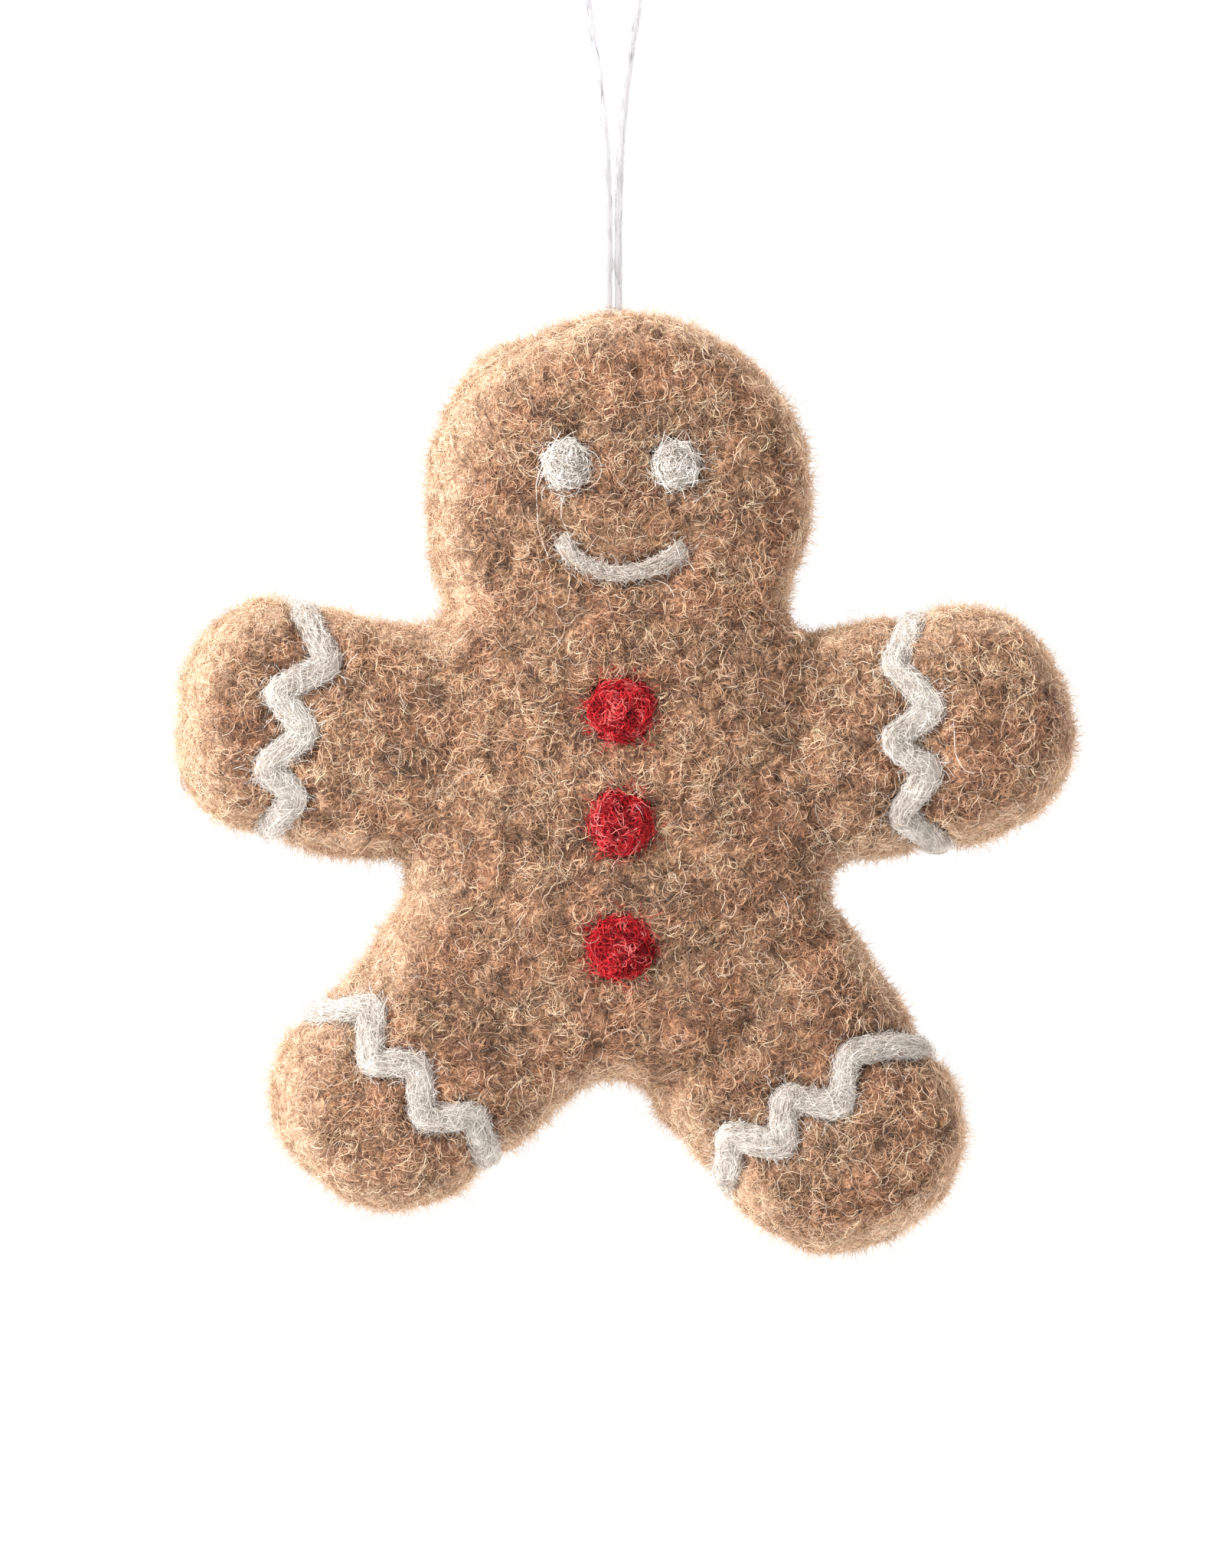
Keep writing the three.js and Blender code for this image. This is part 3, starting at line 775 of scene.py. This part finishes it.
# Middle lines of the wool strands, in millimetres, from rim to rim over the front
ROUTES = {
    "left_wrist_icing": [
        (36.8, 2.2, -82.8), (36.6, 0, -82.4), (35.8, -4, -83.4), (34.6, -6.8, -86),
        (33.5, -7.6, -89.1), (36, -8, -91.6), (38.6, -8, -94.4), (35.9, -8, -96.4),
        (33.1, -8, -98.5), (35.7, -8, -100.4), (38.2, -8, -102.1), (36.3, -7.8, -105),
        (34.3, -7.2, -107.9), (36.6, -6, -109.7), (38.8, -3.5, -111.1), (39.8, 0, -111.8),
        (40.1, 2.2, -111.6)],
    "right_wrist_icing": [
        (-38.1, 2.2, -82), (-37.9, 0, -81.6), (-37.6, -4, -82.9), (-36.3, -6.8, -85.9),
        (-34.5, -7.6, -89.1), (-38.2, -8, -90.9), (-41.6, -8, -92.7), (-39.4, -8, -94.9),
        (-37.4, -8, -97.5), (-40, -8, -99.6), (-42.9, -8, -101.8), (-40.7, -8, -103.7),
        (-38.7, -7.6, -105.7), (-40.5, -6.6, -107.8), (-41.9, -4, -109.6), (-42.4, 0, -110.6),
        (-42.6, 2.2, -110.4)],
    "left_ankle_icing": [
        (39, 2.2, -135.8), (39, 0, -135.4), (37.5, -4, -135.2), (33, -7, -135.3),
        (28.1, -8, -136.3), (27.5, -8.2, -139.5), (27.1, -8.2, -142.9), (23.6, -8.2, -142.2),
        (20.1, -8.2, -141.5), (20.2, -8.2, -144.7), (20.4, -8, -147.9), (16.7, -7.8, -147.1),
        (13.1, -7.2, -146.4), (13.1, -6, -148.7), (13.7, -3.5, -150.7), (14.2, 0, -151.8),
        (14.5, 2.2, -152)],
    "right_ankle_icing": [
        (-36.9, 2.2, -132.4), (-36.8, 0, -131.9), (-35.3, -3.8, -131), (-32.8, -6.4, -130.2),
        (-30, -7.4, -130.2), (-29.9, -7.9, -133.8), (-30, -8, -137.5), (-27.1, -8.2, -137.5),
        (-24.1, -8.2, -137.5), (-23.8, -8.2, -140.9), (-23.5, -8.2, -144.3), (-20.4, -8, -144.1),
        (-17.2, -7.6, -143.8), (-16.3, -6.4, -146.4), (-15.5, -4, -148.7), (-15.1, 0, -150),
        (-15.2, 2.2, -150.2)],
    "smile": [
        (-6.9, -8.6, -73.7), (-5.7, -8.6, -75.8), (-3.8, -8.6, -77.3), (-1.5, -8.6, -78.2),
        (0.9, -8.6, -78.3), (3.3, -8.6, -77.8), (5.3, -8.6, -77), (7.2, -8.6, -75.9),
        (8.1, -8.6, -74.8)],
}


def ease(line, times):
    """Soften the corners of a line, which is changed."""
    for _ in range(times):
        line[1:-1] = (line[:-2] + 2 * line[1:-1] + line[2:]) / 4


def laid_route(route):
    """A strand's middle line with its corners softened, laid on the plain felt."""
    corners = np.array(route, float)
    run = run_along(corners)
    line = sampled(np.linspace(0, run[-1], round(run[-1] / 0.35) + 1), run, corners)
    ease(line, 3)
    places, ups = settle(line, plain_tree)
    ease(places, 3)
    for _ in range(12):
        ups[1:-1] = unit(ups[:-2] + ups[1:-1] + ups[2:])
    return places, ups


wool_routes = {name: laid_route(route) for name, route in ROUTES.items()}
wool_middle = np.concatenate([places for places, _ in wool_routes.values()])

EYES = ("left_eye", "right_eye")
BUTTONS = ("top_button", "middle_button", "bottom_button")
dots = {}
for dot in EYES + BUTTONS:
    low, high = (np.array(corner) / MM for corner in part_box(dot))
    dots[dot] = ((low + high) / 2, (high - low) / 2)


def gap_to_wool(places):
    """Distance from the strands' middle lines, for a few thousand places at a time."""
    parts = np.array_split(places, math.ceil(len(places) / 4000))
    return np.concatenate([np.linalg.norm(part[:, None] - wool_middle, axis=2).min(1)
                           for part in parts])


def gap_to_dots(places):
    """Distance outside the nearest eye or button, measured on the front."""
    gap = np.full(len(places), 99.0)
    for middle, half in dots.values():
        across = np.linalg.norm((places - middle)[:, [0, 2]], axis=1) - half[0]
        gap = np.where(places[:, 1] < 0, np.minimum(gap, across), gap)
    return gap


def tufts(places):
    """Above 0 on the felt's tufts, below 0 in its pits."""
    return 0.35 - np.abs(noise_at(places, 0.42, 9.0))


def felted(points, normals):
    """The felt's soft lumps, tufts and pits, and the dents where wool is needled in."""
    rise = (0.45 * noise_at(points, 0.09) + 0.32 * noise_at(points, 0.24, 5.0)
            + 0.8 * tufts(points) + 0.22 * noise_at(points, 0.9, 3.0))
    dent = 1.05 * np.exp(-(gap_to_wool(points) / 2.5) ** 4)
    dent += 0.4 * np.exp(-(np.clip(gap_to_dots(points) + 0.5, 0, None) / 0.85) ** 2)
    return shaped(points, normals) + (rise - dent)[:, None] * normals


raw_points, felt_faces, raw_normals = grown_body(0.5, 10, "felt_body")
felt_points = felted(raw_points, raw_normals)
felt_surface = felt_points, felt_faces
felt_tree = tree_of(*felt_surface)
felt = new_piece("felt_body", felt_points, felt_faces.ravel(), np.full(len(felt_faces), 3),
                 felt_paint(), "brown_felt")
# The rim share holds painted light at upper left and below, for the felt's paler rim colour.
add_shade(felt, "rim", rims_and_painted_light_at(felt_points))
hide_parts(*SEGMENTS)

# Each wool's packed mass, its loose strands and its slot
white_wool = (mass_paint("white_mass", (0.5, 0.45, 0.4), (0.88, 0.83, 0.77)),
              strand_paint("white_strands", WHITE), "white_wool")
thin_wool = (mass_paint("thin_white_mass", (0.34, 0.24, 0.17), (0.78, 0.7, 0.62)),
             strand_paint("thin_white_strands", THIN_WHITE), "white_wool")
red_wool = (mass_paint("red_mass", (0.05, 0.001, 0.003), (0.34, 0.008, 0.014)),
            strand_paint("red_strands", RED, patches=TONE_PATCHES[1:], Sheen_Weight=0.05,
                         Specular_IOR_Level=0.15), "red_wool")
brown_strands = strand_paint("brown_strands", BROWN, BROWN_RIM_BRUSHED_AND_LIT, drifting=True, Roughness=0.6,
                             Specular_IOR_Level=0.35)
fuzz_strands = strand_paint("fuzz_strands", FUZZ)


def some(count):
    return int(count * (1.0))


class Roving:
    """A strand of combed wool along a route."""

    def __init__(self, route, width, height, taper, rough):
        places, self.ups = route
        self.line = places - 0.2 * self.ups
        self.at = run_along(self.line)
        self.length = self.at[-1]
        self.along = unit(np.gradient(self.line, axis=0))
        self.width, self.height, self.taper, self.rough = width, height, taper, rough
        self.seed = rng.random() * 100

    def girth(self, at):
        """The share of the full width at a distance along, swelling and thinning."""
        waver = np.array([noise.noise(Vector((a * 0.2, self.seed, 0)))
                          + 0.5 * noise.noise(Vector((a * 0.6, self.seed, 9)))
                          for a in np.ravel(at)])
        near = np.clip(np.minimum(at, self.length - at) / self.taper, 0, 1)
        swell = 1 + self.rough * waver.reshape(np.shape(at))
        return swell * (0.3 + 0.7 * np.sqrt(near * (2 - near)))

    def heading(self, at):
        return sampled(at, self.at, self.along)

    def place(self, at, turn, out):
        """Points at a distance along, a turn round (0 is up) and out from the wool."""
        along = self.heading(at)
        side = unit(np.cross(along, sampled(at, self.at, self.ups)))
        up = np.cross(side, along)
        share = self.girth(at)[..., None]
        across = np.sin(turn)[..., None] * (self.width / 2 * share + out[..., None])
        rise = np.cos(turn)[..., None] * (self.height / 2 * share + out[..., None])
        away = across * side + rise * up
        return sampled(at, self.at, self.line) + away, unit(away)

    def mass(self, sides=32):
        """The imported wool: a closed tube with ridges that wind along it."""
        at = np.repeat(self.at[:, None], sides, axis=1)
        turn = np.repeat(np.linspace(0, 2 * np.pi, sides, endpoint=False)[None], len(at), axis=0)

        def ridges(stretch, width, twist):
            return np.array([noise.noise(Vector((a * stretch + self.seed,
                                                 width * math.sin(t + twist * a),
                                                 width * math.cos(t + twist * a))))
                             for a, t in zip(at.ravel(), turn.ravel())]).reshape(at.shape)

        rise = ridges(0.14, 1.7, 0.12) + 0.6 * ridges(0.3, 5, 0.1)
        points = self.place(at, turn, 0.17 * rise)[0].reshape(-1, 3)
        return (np.concatenate([self.line[:1], points, self.line[-1:]]),
                *tube_faces(len(at), sides, flipped=True))

    def strands(self, count, length, out, radius, rings, turns, sway):
        """Fibres along the roving, lying on it or standing a little off it."""
        span = spread(*length, count)[:, None]
        start = spread(-0.3, 1, count)[:, None] * self.length
        share = np.linspace(0, 1, rings)
        at = np.clip(start + span * share, 0.2, self.length - 0.2)
        at = np.sort(at + rng.random((count, rings)) * 0.02, axis=1)
        wander = spread(-0.5, 0.5, count)[:, None] * share + sway * np.sin(
            2 * np.pi * (share * spread(0.8, 2.4, count)[:, None] + rng.random((count, 1))))
        turn = spread(*turns, count)[:, None] + wander
        rise = np.abs(np.sin(np.pi * (share * spread(0.5, 1.5, count)[:, None]
                                      + rng.random((count, 1)))))
        paths, ups = self.place(at, turn, spread(*out, count)[:, None] * rise)
        held = np.ptp(at, axis=1) > 1.2
        shape = (count, rings)
        return paths[held], ups[held], steady(*radius, *shape)[held], steady(0, 1, *shape)[held]

    def crossing(self, count, rings=9):
        """Brown fibres of the felt that lie over the wool's edges."""
        share = np.linspace(0, 1, rings)
        at = np.clip(spread(0, self.length, count)[:, None]
                     + spread(-1.6, 1.6, count)[:, None] * (share - 0.5), 0.1, self.length - 0.1)
        side = either_side(count)[:, None]
        turn = side * (2.1 - spread(0.35, 1.5, count)[:, None] * np.sin(np.pi * share))
        paths, ups = self.place(at, turn, steady(0.02, 0.25, count, rings))
        return paths, ups, steady(0.03, 0.05, count, rings), steady(0.2, 1, count, rings)

    def frizz(self, count, length, rings=6):
        """Short fine hairs that stand out of the wool's sides."""
        at = spread(0.1, self.length - 0.1, count)
        turn = either_side(count) * spread(0.5, 2.0, count)
        root, out = self.place(at, turn, np.full(count, -0.05))
        aside = either_side(count)[:, None] * spread(0.6, 3.5, count)[:, None]
        lean = unit(out + aside * self.heading(at))
        bend = any_way(out)
        return (*bent_hairs(root, lean, bend, spread(*length, count), 0.45, rings),
                steady(0.016, 0.03, count, rings), steady(0.5, 1, count, rings))

    def bends(self, count):
        """Places at the sharp bends and the rims, and most often the outer side."""
        turning = np.gradient(self.along, self.at, axis=0)
        outer = -np.sign((turning * np.cross(self.along, self.ups)).sum(1))
        sharp = np.linalg.norm(turning, axis=1) ** 2
        sharp[[6, -7]] = sharp.sum() / 5
        chosen = rng.choice(len(self.at), count, p=sharp / sharp.sum())
        side = np.where(rng.random(count) < 0.75, outer[chosen], -outer[chosen])
        return self.at[chosen] + 0.4 * rng.normal(size=count), side

    def strays(self, count, more, length):
        """Fibres that leave the wool, most of all at its bends, and lie on the felt."""
        bend_at, bend_side = self.bends(more)
        at = np.clip(np.concatenate([spread(0, self.length, count), bend_at]), 0, self.length)
        side = np.concatenate([either_side(count), bend_side])
        edge, out = self.place(at, side * 1.6, np.full(len(at), -0.2))
        askew = np.concatenate([spread(-1.6, 1.6, count), spread(-1.2, 1.2, more)])
        return curls(*settle(edge, felt_tree), out + askew[:, None] * self.heading(at), length,
                     (0.1, 0.9), (0.2, 0.8), (0.024, 0.042), 9, felt_tree, 1, (0.6, 1))


def add_roving(name, wool, form, count, knotted):
    """A strand of wool, its fibres, and fibres of the felt over its edges."""
    mass_material, strand_material, slot = wool
    roving = Roving(wool_routes[name], *form)
    mass = new_piece(name + "_wool", *roving.mass(), mass_material, slot)
    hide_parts(name)
    surface = arrays(mass.data)
    tree = tree_of(*surface)
    lying = roving.strands(count, (4, 12), (0.0, 0.5), (0.022, 0.042), 12, (-1.9, 1.9), 0.2)
    loose = roving.strands(count // 2, (2.0, 6), (0.3, 0.8), (0.022, 0.038), 9, (-2.0, 2.0), 0.6)
    strays = roving.strays(count // 8, knotted // 2, (1.2, 4.0))
    frizz = roving.frizz(2 * count, (0.6, 2.0))
    places, normals = scattered(surface, knotted, lambda p, n: n[:, 1] < 0.1)
    tangle = curls(places, normals, any_heading(normals), (1.0, 3.6), (0.2, 1.8), (0.15, 0.6),
                   (0.022, 0.04), 9, tree, 1, (0.2, 1))
    fibre_piece(name + "_fibres", [lying, loose, strays, frizz, tangle], strand_material, slot)
    brown_piece(name + "_brown_fibres", roving.crossing(some(300)))


# Width, height, taper at the ends and unevenness of the strands
YARN = (2.6, 2.1, 2.2, 0.18)
SMILE_WOOL = (1.1, 0.7, 0.9, 0.35)

*icings, smile = ROUTES
for icing in icings:
    add_roving(icing, white_wool, YARN, some(900), some(200))
add_roving(smile, thin_wool, SMILE_WOOL, some(260), some(170))


# Eyes and buttons


def circled(count):
    """Directions all round in the front view."""
    turn = rng.random(count) * 2 * np.pi
    return np.stack([np.cos(turn), 0 * turn, np.sin(turn)], axis=1)


def dot_wisps(middle, half, count, rings=9):
    """Fine hairs that curl round a dot's edge."""
    ring = circled(count)
    round_it = np.cross(ring, [0.0, 1.0, 0.0]) * either_side(count)[:, None]
    root = middle + ring * half * spread(0.85, 1.0, count)[:, None] - np.array([0, 0.9, 0])
    lean = unit(ring * spread(0.0, 0.9, count)[:, None] + round_it
                + 0.3 * rng.normal(size=ring.shape))
    reach = spread(0.8, 3.2, count)
    bend = unit(-1.0 * ring + [0, 0.4, 0] + 0.5 * rng.normal(size=ring.shape))
    return (*bent_hairs(root, lean, bend, reach, 0.5, rings),
            steady(0.024, 0.042, count, rings), steady(0.3, 1, count, rings))


def add_dot(node, wool, size, count, radius, crossing):
    """A dot of wool, its fibres, and fibres of the felt over its edge."""
    mass_material, strand_material, slot = wool
    middle, half = dots[node]
    points, faces = ball(5, 1)
    where = points * 3 + middle
    waver = (0.15 * noise_at(where, 0.5) + 0.11 * noise_at(where, 1.3, 4.0)
             + 0.05 * noise_at(where, 3.6, 8.0))
    points = middle + points * (size + waver[:, None]) * half
    mass = new_piece(node + "_wool", points, faces.ravel(), np.full(len(faces), 3),
                     mass_material, slot)
    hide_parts(node)
    tree = tree_of(points, faces)
    few = math.ceil(count / DOT_BUNDLE)
    places, normals = scattered((points, faces), few, lambda p, n: p[:, 1] < middle[1] + 0.6)
    outward = places - middle
    around = np.cross(outward, [0.0, 1.0, 0.0]) * either_side(few)[:, None]
    far = np.clip(np.linalg.norm(outward[:, [0, 2]], axis=1) / half[0], 0, 1)[:, None]
    headings = unit(far * unit(around) + (1.15 - far) * any_heading(normals))
    lying = curls(*bundled(places, headings, DOT_BUNDLE, tree), (2.0, 5.5), (0.1, 1.5),
                  (0.05, 0.85), radius, 10, tree, DOT_BUNDLE)
    wisps = dot_wisps(middle, half * size, count // 2)
    ring = circled(count // 7)
    edge = middle + ring * half * spread(0.7, 0.95, len(ring))[:, None]
    edge, up = settle(edge - [0, 3, 0], felt_tree)
    away = unit(ring * spread(-0.3, 1.2, len(ring))[:, None] + any_heading(up))
    strays = curls(edge, up, away, (0.8, 2.4), (0.2, 1.2), (0.1, 0.6), (0.024, 0.042), 7,
                   felt_tree, 1, (0.2, 0.8))
    fibre_piece(node + "_curls", [lying, wisps, strays], strand_material, slot)
    inward = unit(0.5 * any_heading(up) - ring + 0.8 * np.cross(ring, up))
    over = curls(edge, up, inward, (1.0, 2.4), (0.2, 1.0), (0.5, 1.3), (0.03, 0.05), 9, felt_tree)
    brown_piece(node + "_edge_fibres", over, slice(crossing))


DOT_BUNDLE = 5

for eye in EYES:
    add_dot(eye, white_wool, 0.74, some(660), (0.028, 0.05), 26)
for button in BUTTONS:
    add_dot(button, red_wool, 0.84, some(900), (0.035, 0.06), 50)


# Loose fibres of the felt

REGIONS = ("head", "right_arm", "torso", "right_leg", "left_arm", "left_leg")
MOST_FIBRES = 5200


def region_of(places):
    """Which of the body's fibre pieces a place belongs to."""
    x, y, z = places.T
    part = np.where(z > -83.4, 0, np.where(np.abs(x - 0.8) > 24.5, 1, 2))
    part = np.where(z < -116, 3, part)
    part = np.where((part == 1) & (x > 0), 4, part)
    part = np.where((part == 3) & (x > 0.8), 5, part)
    return part * 2 + (y > 0)


def coat_weight(ridged, rim_share):
    """More fibres on the front and the tufts, fewer round the rims and in the pits."""
    def weight(places, normals):
        rim = rims_and_painted_light_at(places)
        side = np.where(places[:, 1] < 0, 1.0, 0.55) * (1 - rim) + rim_share * rim
        bare = (gap_to_wool(places) > 1.7) & (gap_to_dots(places) > 0)
        return side * np.clip(1 + ridged * tufts(places), 0.15, 3) * bare
    return weight


def add_coat(name, total, bundle, ridged, rim_share, wild, shades, rings, shape):
    """One layer of curly fibres all over the felt, in pieces."""
    places, normals = scattered(felt_surface, total // bundle, coat_weight(ridged, rim_share))
    headings = unit(swirled(places, normals) + wild * any_heading(normals))
    places, normals, headings = bundled(places, headings, bundle, felt_tree)
    batch = curls(places, normals, headings, *shape, rings, felt_tree, bundle, shades)
    region = region_of(places)
    for index in range(2 * len(REGIONS)):
        mine = np.flatnonzero(region == index)
        mine = mine[np.argsort(places[mine, 2])]
        side = "back" if index % 2 else "front"
        sheets = np.array_split(mine, max(1, math.ceil(len(mine) / MOST_FIBRES)))
        for number, sheet in enumerate(sheets, 1):
            if len(sheet):
                brown_piece(f"{REGIONS[index // 2]}_{side}_{name}_{number}", batch, sheet)


def add_combed(total):
    """Fine short fibres brushed round the rims."""
    places, normals = scattered(felt_surface, total, lambda p, n: rims_and_painted_light_at(p) + 0.02)
    headings = to_outline(places)[1] + either_side(total)[:, None] * [0, 1, 0]
    headings = unit(headings + 0.8 * rng.normal(size=(total, 3)))
    batch = curls(places, normals, headings, (1.4, 3.4), (0.0, 0.6), (0.05, 0.55),
                  (0.025, 0.045), 5, felt_tree)
    brown_piece("rim_fibres_1", batch, slice(total // 2))
    brown_piece("rim_fibres_2", batch, slice(total // 2, None))


def add_long_hair(total):
    """Long pale hairs that lie loose over the felt."""
    places, normals = scattered(felt_surface, total, coat_weight(0, 0.6))
    batch = curls(places, normals, any_heading(normals), (3.0, 9.0), (0.02, 0.6), (0.3, 1.1),
                  (0.024, 0.038), 12, felt_tree, 1, (0.4, 1))
    fibre_piece("long_hairs", [batch], fuzz_strands, "brown_felt")


def on_rims(low, half):
    return lambda p, n: np.clip(1.2 - np.abs(p[:, 1]) / half, low, 1)


def add_fuzz(total, sheets, rings=4):
    """Very fine hairs that stand off the felt and soften its outline."""
    count = total // sheets
    for sheet in range(1, sheets + 1):
        places, normals = scattered(felt_surface, count, on_rims(0.05, 3.2))
        lean = unit(normals + 0.9 * any_way(normals))
        bend = any_way(normals)
        hairs = bent_hairs(places, lean, bend, 0.45 + 1.7 * rng.random(count) ** 2, 0.6, rings)
        brown_piece(f"felt_fuzz_{sheet}", (*hairs, np.full((count, rings), 0.024),
                                           steady(0.2, 1, count, rings)))


def add_flyaways(total, rings=12):
    """Long curled hairs that have worked loose round the rims."""
    places, normals = scattered(felt_surface, total, on_rims(0.03, 7.5))
    step = spread(2.0, 6.0, total)[:, None] / (rings - 1)
    heading = unit(normals + 0.9 * any_way(normals))
    axis = unit(np.cross(heading, normals) + 0.5 * rng.normal(size=normals.shape))
    bend = spread(0.2, 0.8, total)[:, None] * step * 1.6
    path = [places]
    for _ in range(rings - 1):
        heading = unit(heading * np.cos(bend) + np.cross(axis, heading) * np.sin(bend)
                       + 0.12 * rng.normal(size=heading.shape))
        path.append(path[-1] + heading * step)
    fibre_piece("flyaway_hairs", [(
        np.stack(path, axis=1), np.repeat(axis[:, None], rings, axis=1),
        np.full((total, rings), 0.02), steady(0.3, 1, total, rings))], fuzz_strands, "brown_felt")


# Painted shade: the low-lying undercoat takes darker tones than the curls above it.
add_coat("undercoat", some(24000), 2, 0.0, 0.6, 1.0, (0.0, 0.75), 5,
         ((1.5, 3.4), (0.1, 1.0), (0.0, 0.2), (0.036, 0.06)))
add_coat("curls", some(48000), 3, 2.4, 0.3, 0.5, (0.03, 1.0), 8,
         ((2.0, 5.6), (0.05, 1.4), (0.08, 0.85), (0.024, 0.046)))
add_long_hair(some(1600))
add_combed(some(16000))
add_fuzz(some(60000), 5)
add_flyaways(some(1300))

# Long stray hairs, as (across, height) points on the front, in millimetres
WHITE_HAIRS = [
    [(-3.9, -63.2), (-2.8, -63.7), (-2.1, -64.8), (-2, -66.1), (-2.5, -67.2),
     (-3.4, -67.9), (-4.7, -68.4), (-6, -68.9), (-7.3, -68.7), (-8.2, -68.2)],
    [(-9.3, -65.4), (-9.8, -67.2), (-9.8, -69.1), (-9.7, -71.1), (-9.6, -72.8),
     (-9.2, -73.9), (-8.8, -75.2), (-8.2, -76.5)],
    [(-6.4, -68.7), (-6.8, -70), (-6.8, -71.3), (-6.4, -72.4), (-6, -73)],
    [(11.5, -67.4), (11, -68.3), (10.1, -69), (9, -69.7)],
    [(6.8, -73.9), (7.2, -75.2), (7.6, -76.3)],
    [(8, -76.3), (8.9, -77.2), (9.4, -78.1)],
    [(4.2, -78.9), (5.7, -79.4), (6.5, -80.2), (6.9, -81.2)],
    [(40.8, -96.1), (40.9, -98.2), (41.1, -100.1), (41.8, -101.6), (42.9, -102.4), (43.6, -102.3)],
    [(19.4, -116.3), (20.4, -117.6), (20.8, -119.3), (20.5, -120.8), (19.6, -122.1)]]
RED_HAIRS = [
    [(3.1, -108.5), (2, -109.2), (0.8, -109.8), (-0.2, -110.5), (-0.9, -111)],
    [(1.8, -106), (2.7, -107), (3.2, -108.7), (2.8, -110.3), (1.9, -111.5),
     (0.5, -112.4), (-0.4, -113.2), (-0.9, -114.2)],
    [(-1.9, -105.6), (-2.3, -107.3), (-2.6, -109), (-2.4, -110.4), (-1.8, -111.4)]]


def add_laid_hairs(name, routes, thick, material, slot, rings=24):
    """Hairs laid along given routes on the wool, each a little off it."""
    paths = []
    for route in routes:
        line, at = smoothed_route([(x, -11.0, z) for x, z in route], 0.25)
        hits = [top_tree.ray_cast(Vector(p) + 9 * Vector(FRONT), -Vector(FRONT))[0] for p in line]
        depth = np.array([hit.y if hit else -9.0 for hit in hits])
        for _ in range(10):
            depth[1:-1] = np.minimum(depth[1:-1], (depth[:-2] + depth[1:-1] + depth[2:]) / 3)
        line[:, 1] = depth - 0.45 - 0.1 * np.sin(at * 1.3)
        line[[0, -1], 1] += 0.5
        paths.append(sampled(np.linspace(0, at[-1], rings), at, line))
    shape = (len(paths), rings)
    fibre_piece(name, [(np.array(paths), np.zeros((*shape, 3)) + FRONT, np.full(shape, thick),
                        np.full(shape, 0.9))], material, slot)


top_tree = tree_of(*joined([felt_surface, *(
    arrays(bpy.data.objects[node + "_wool"].data) for node in (*ROUTES, *dots))]))
add_laid_hairs("white_hairs", WHITE_HAIRS, 0.048, white_wool[1], "white_wool")
add_laid_hairs("pink_hairs", RED_HAIRS, 0.055, strand_paint("pink_strands", PINK), "red_wool")
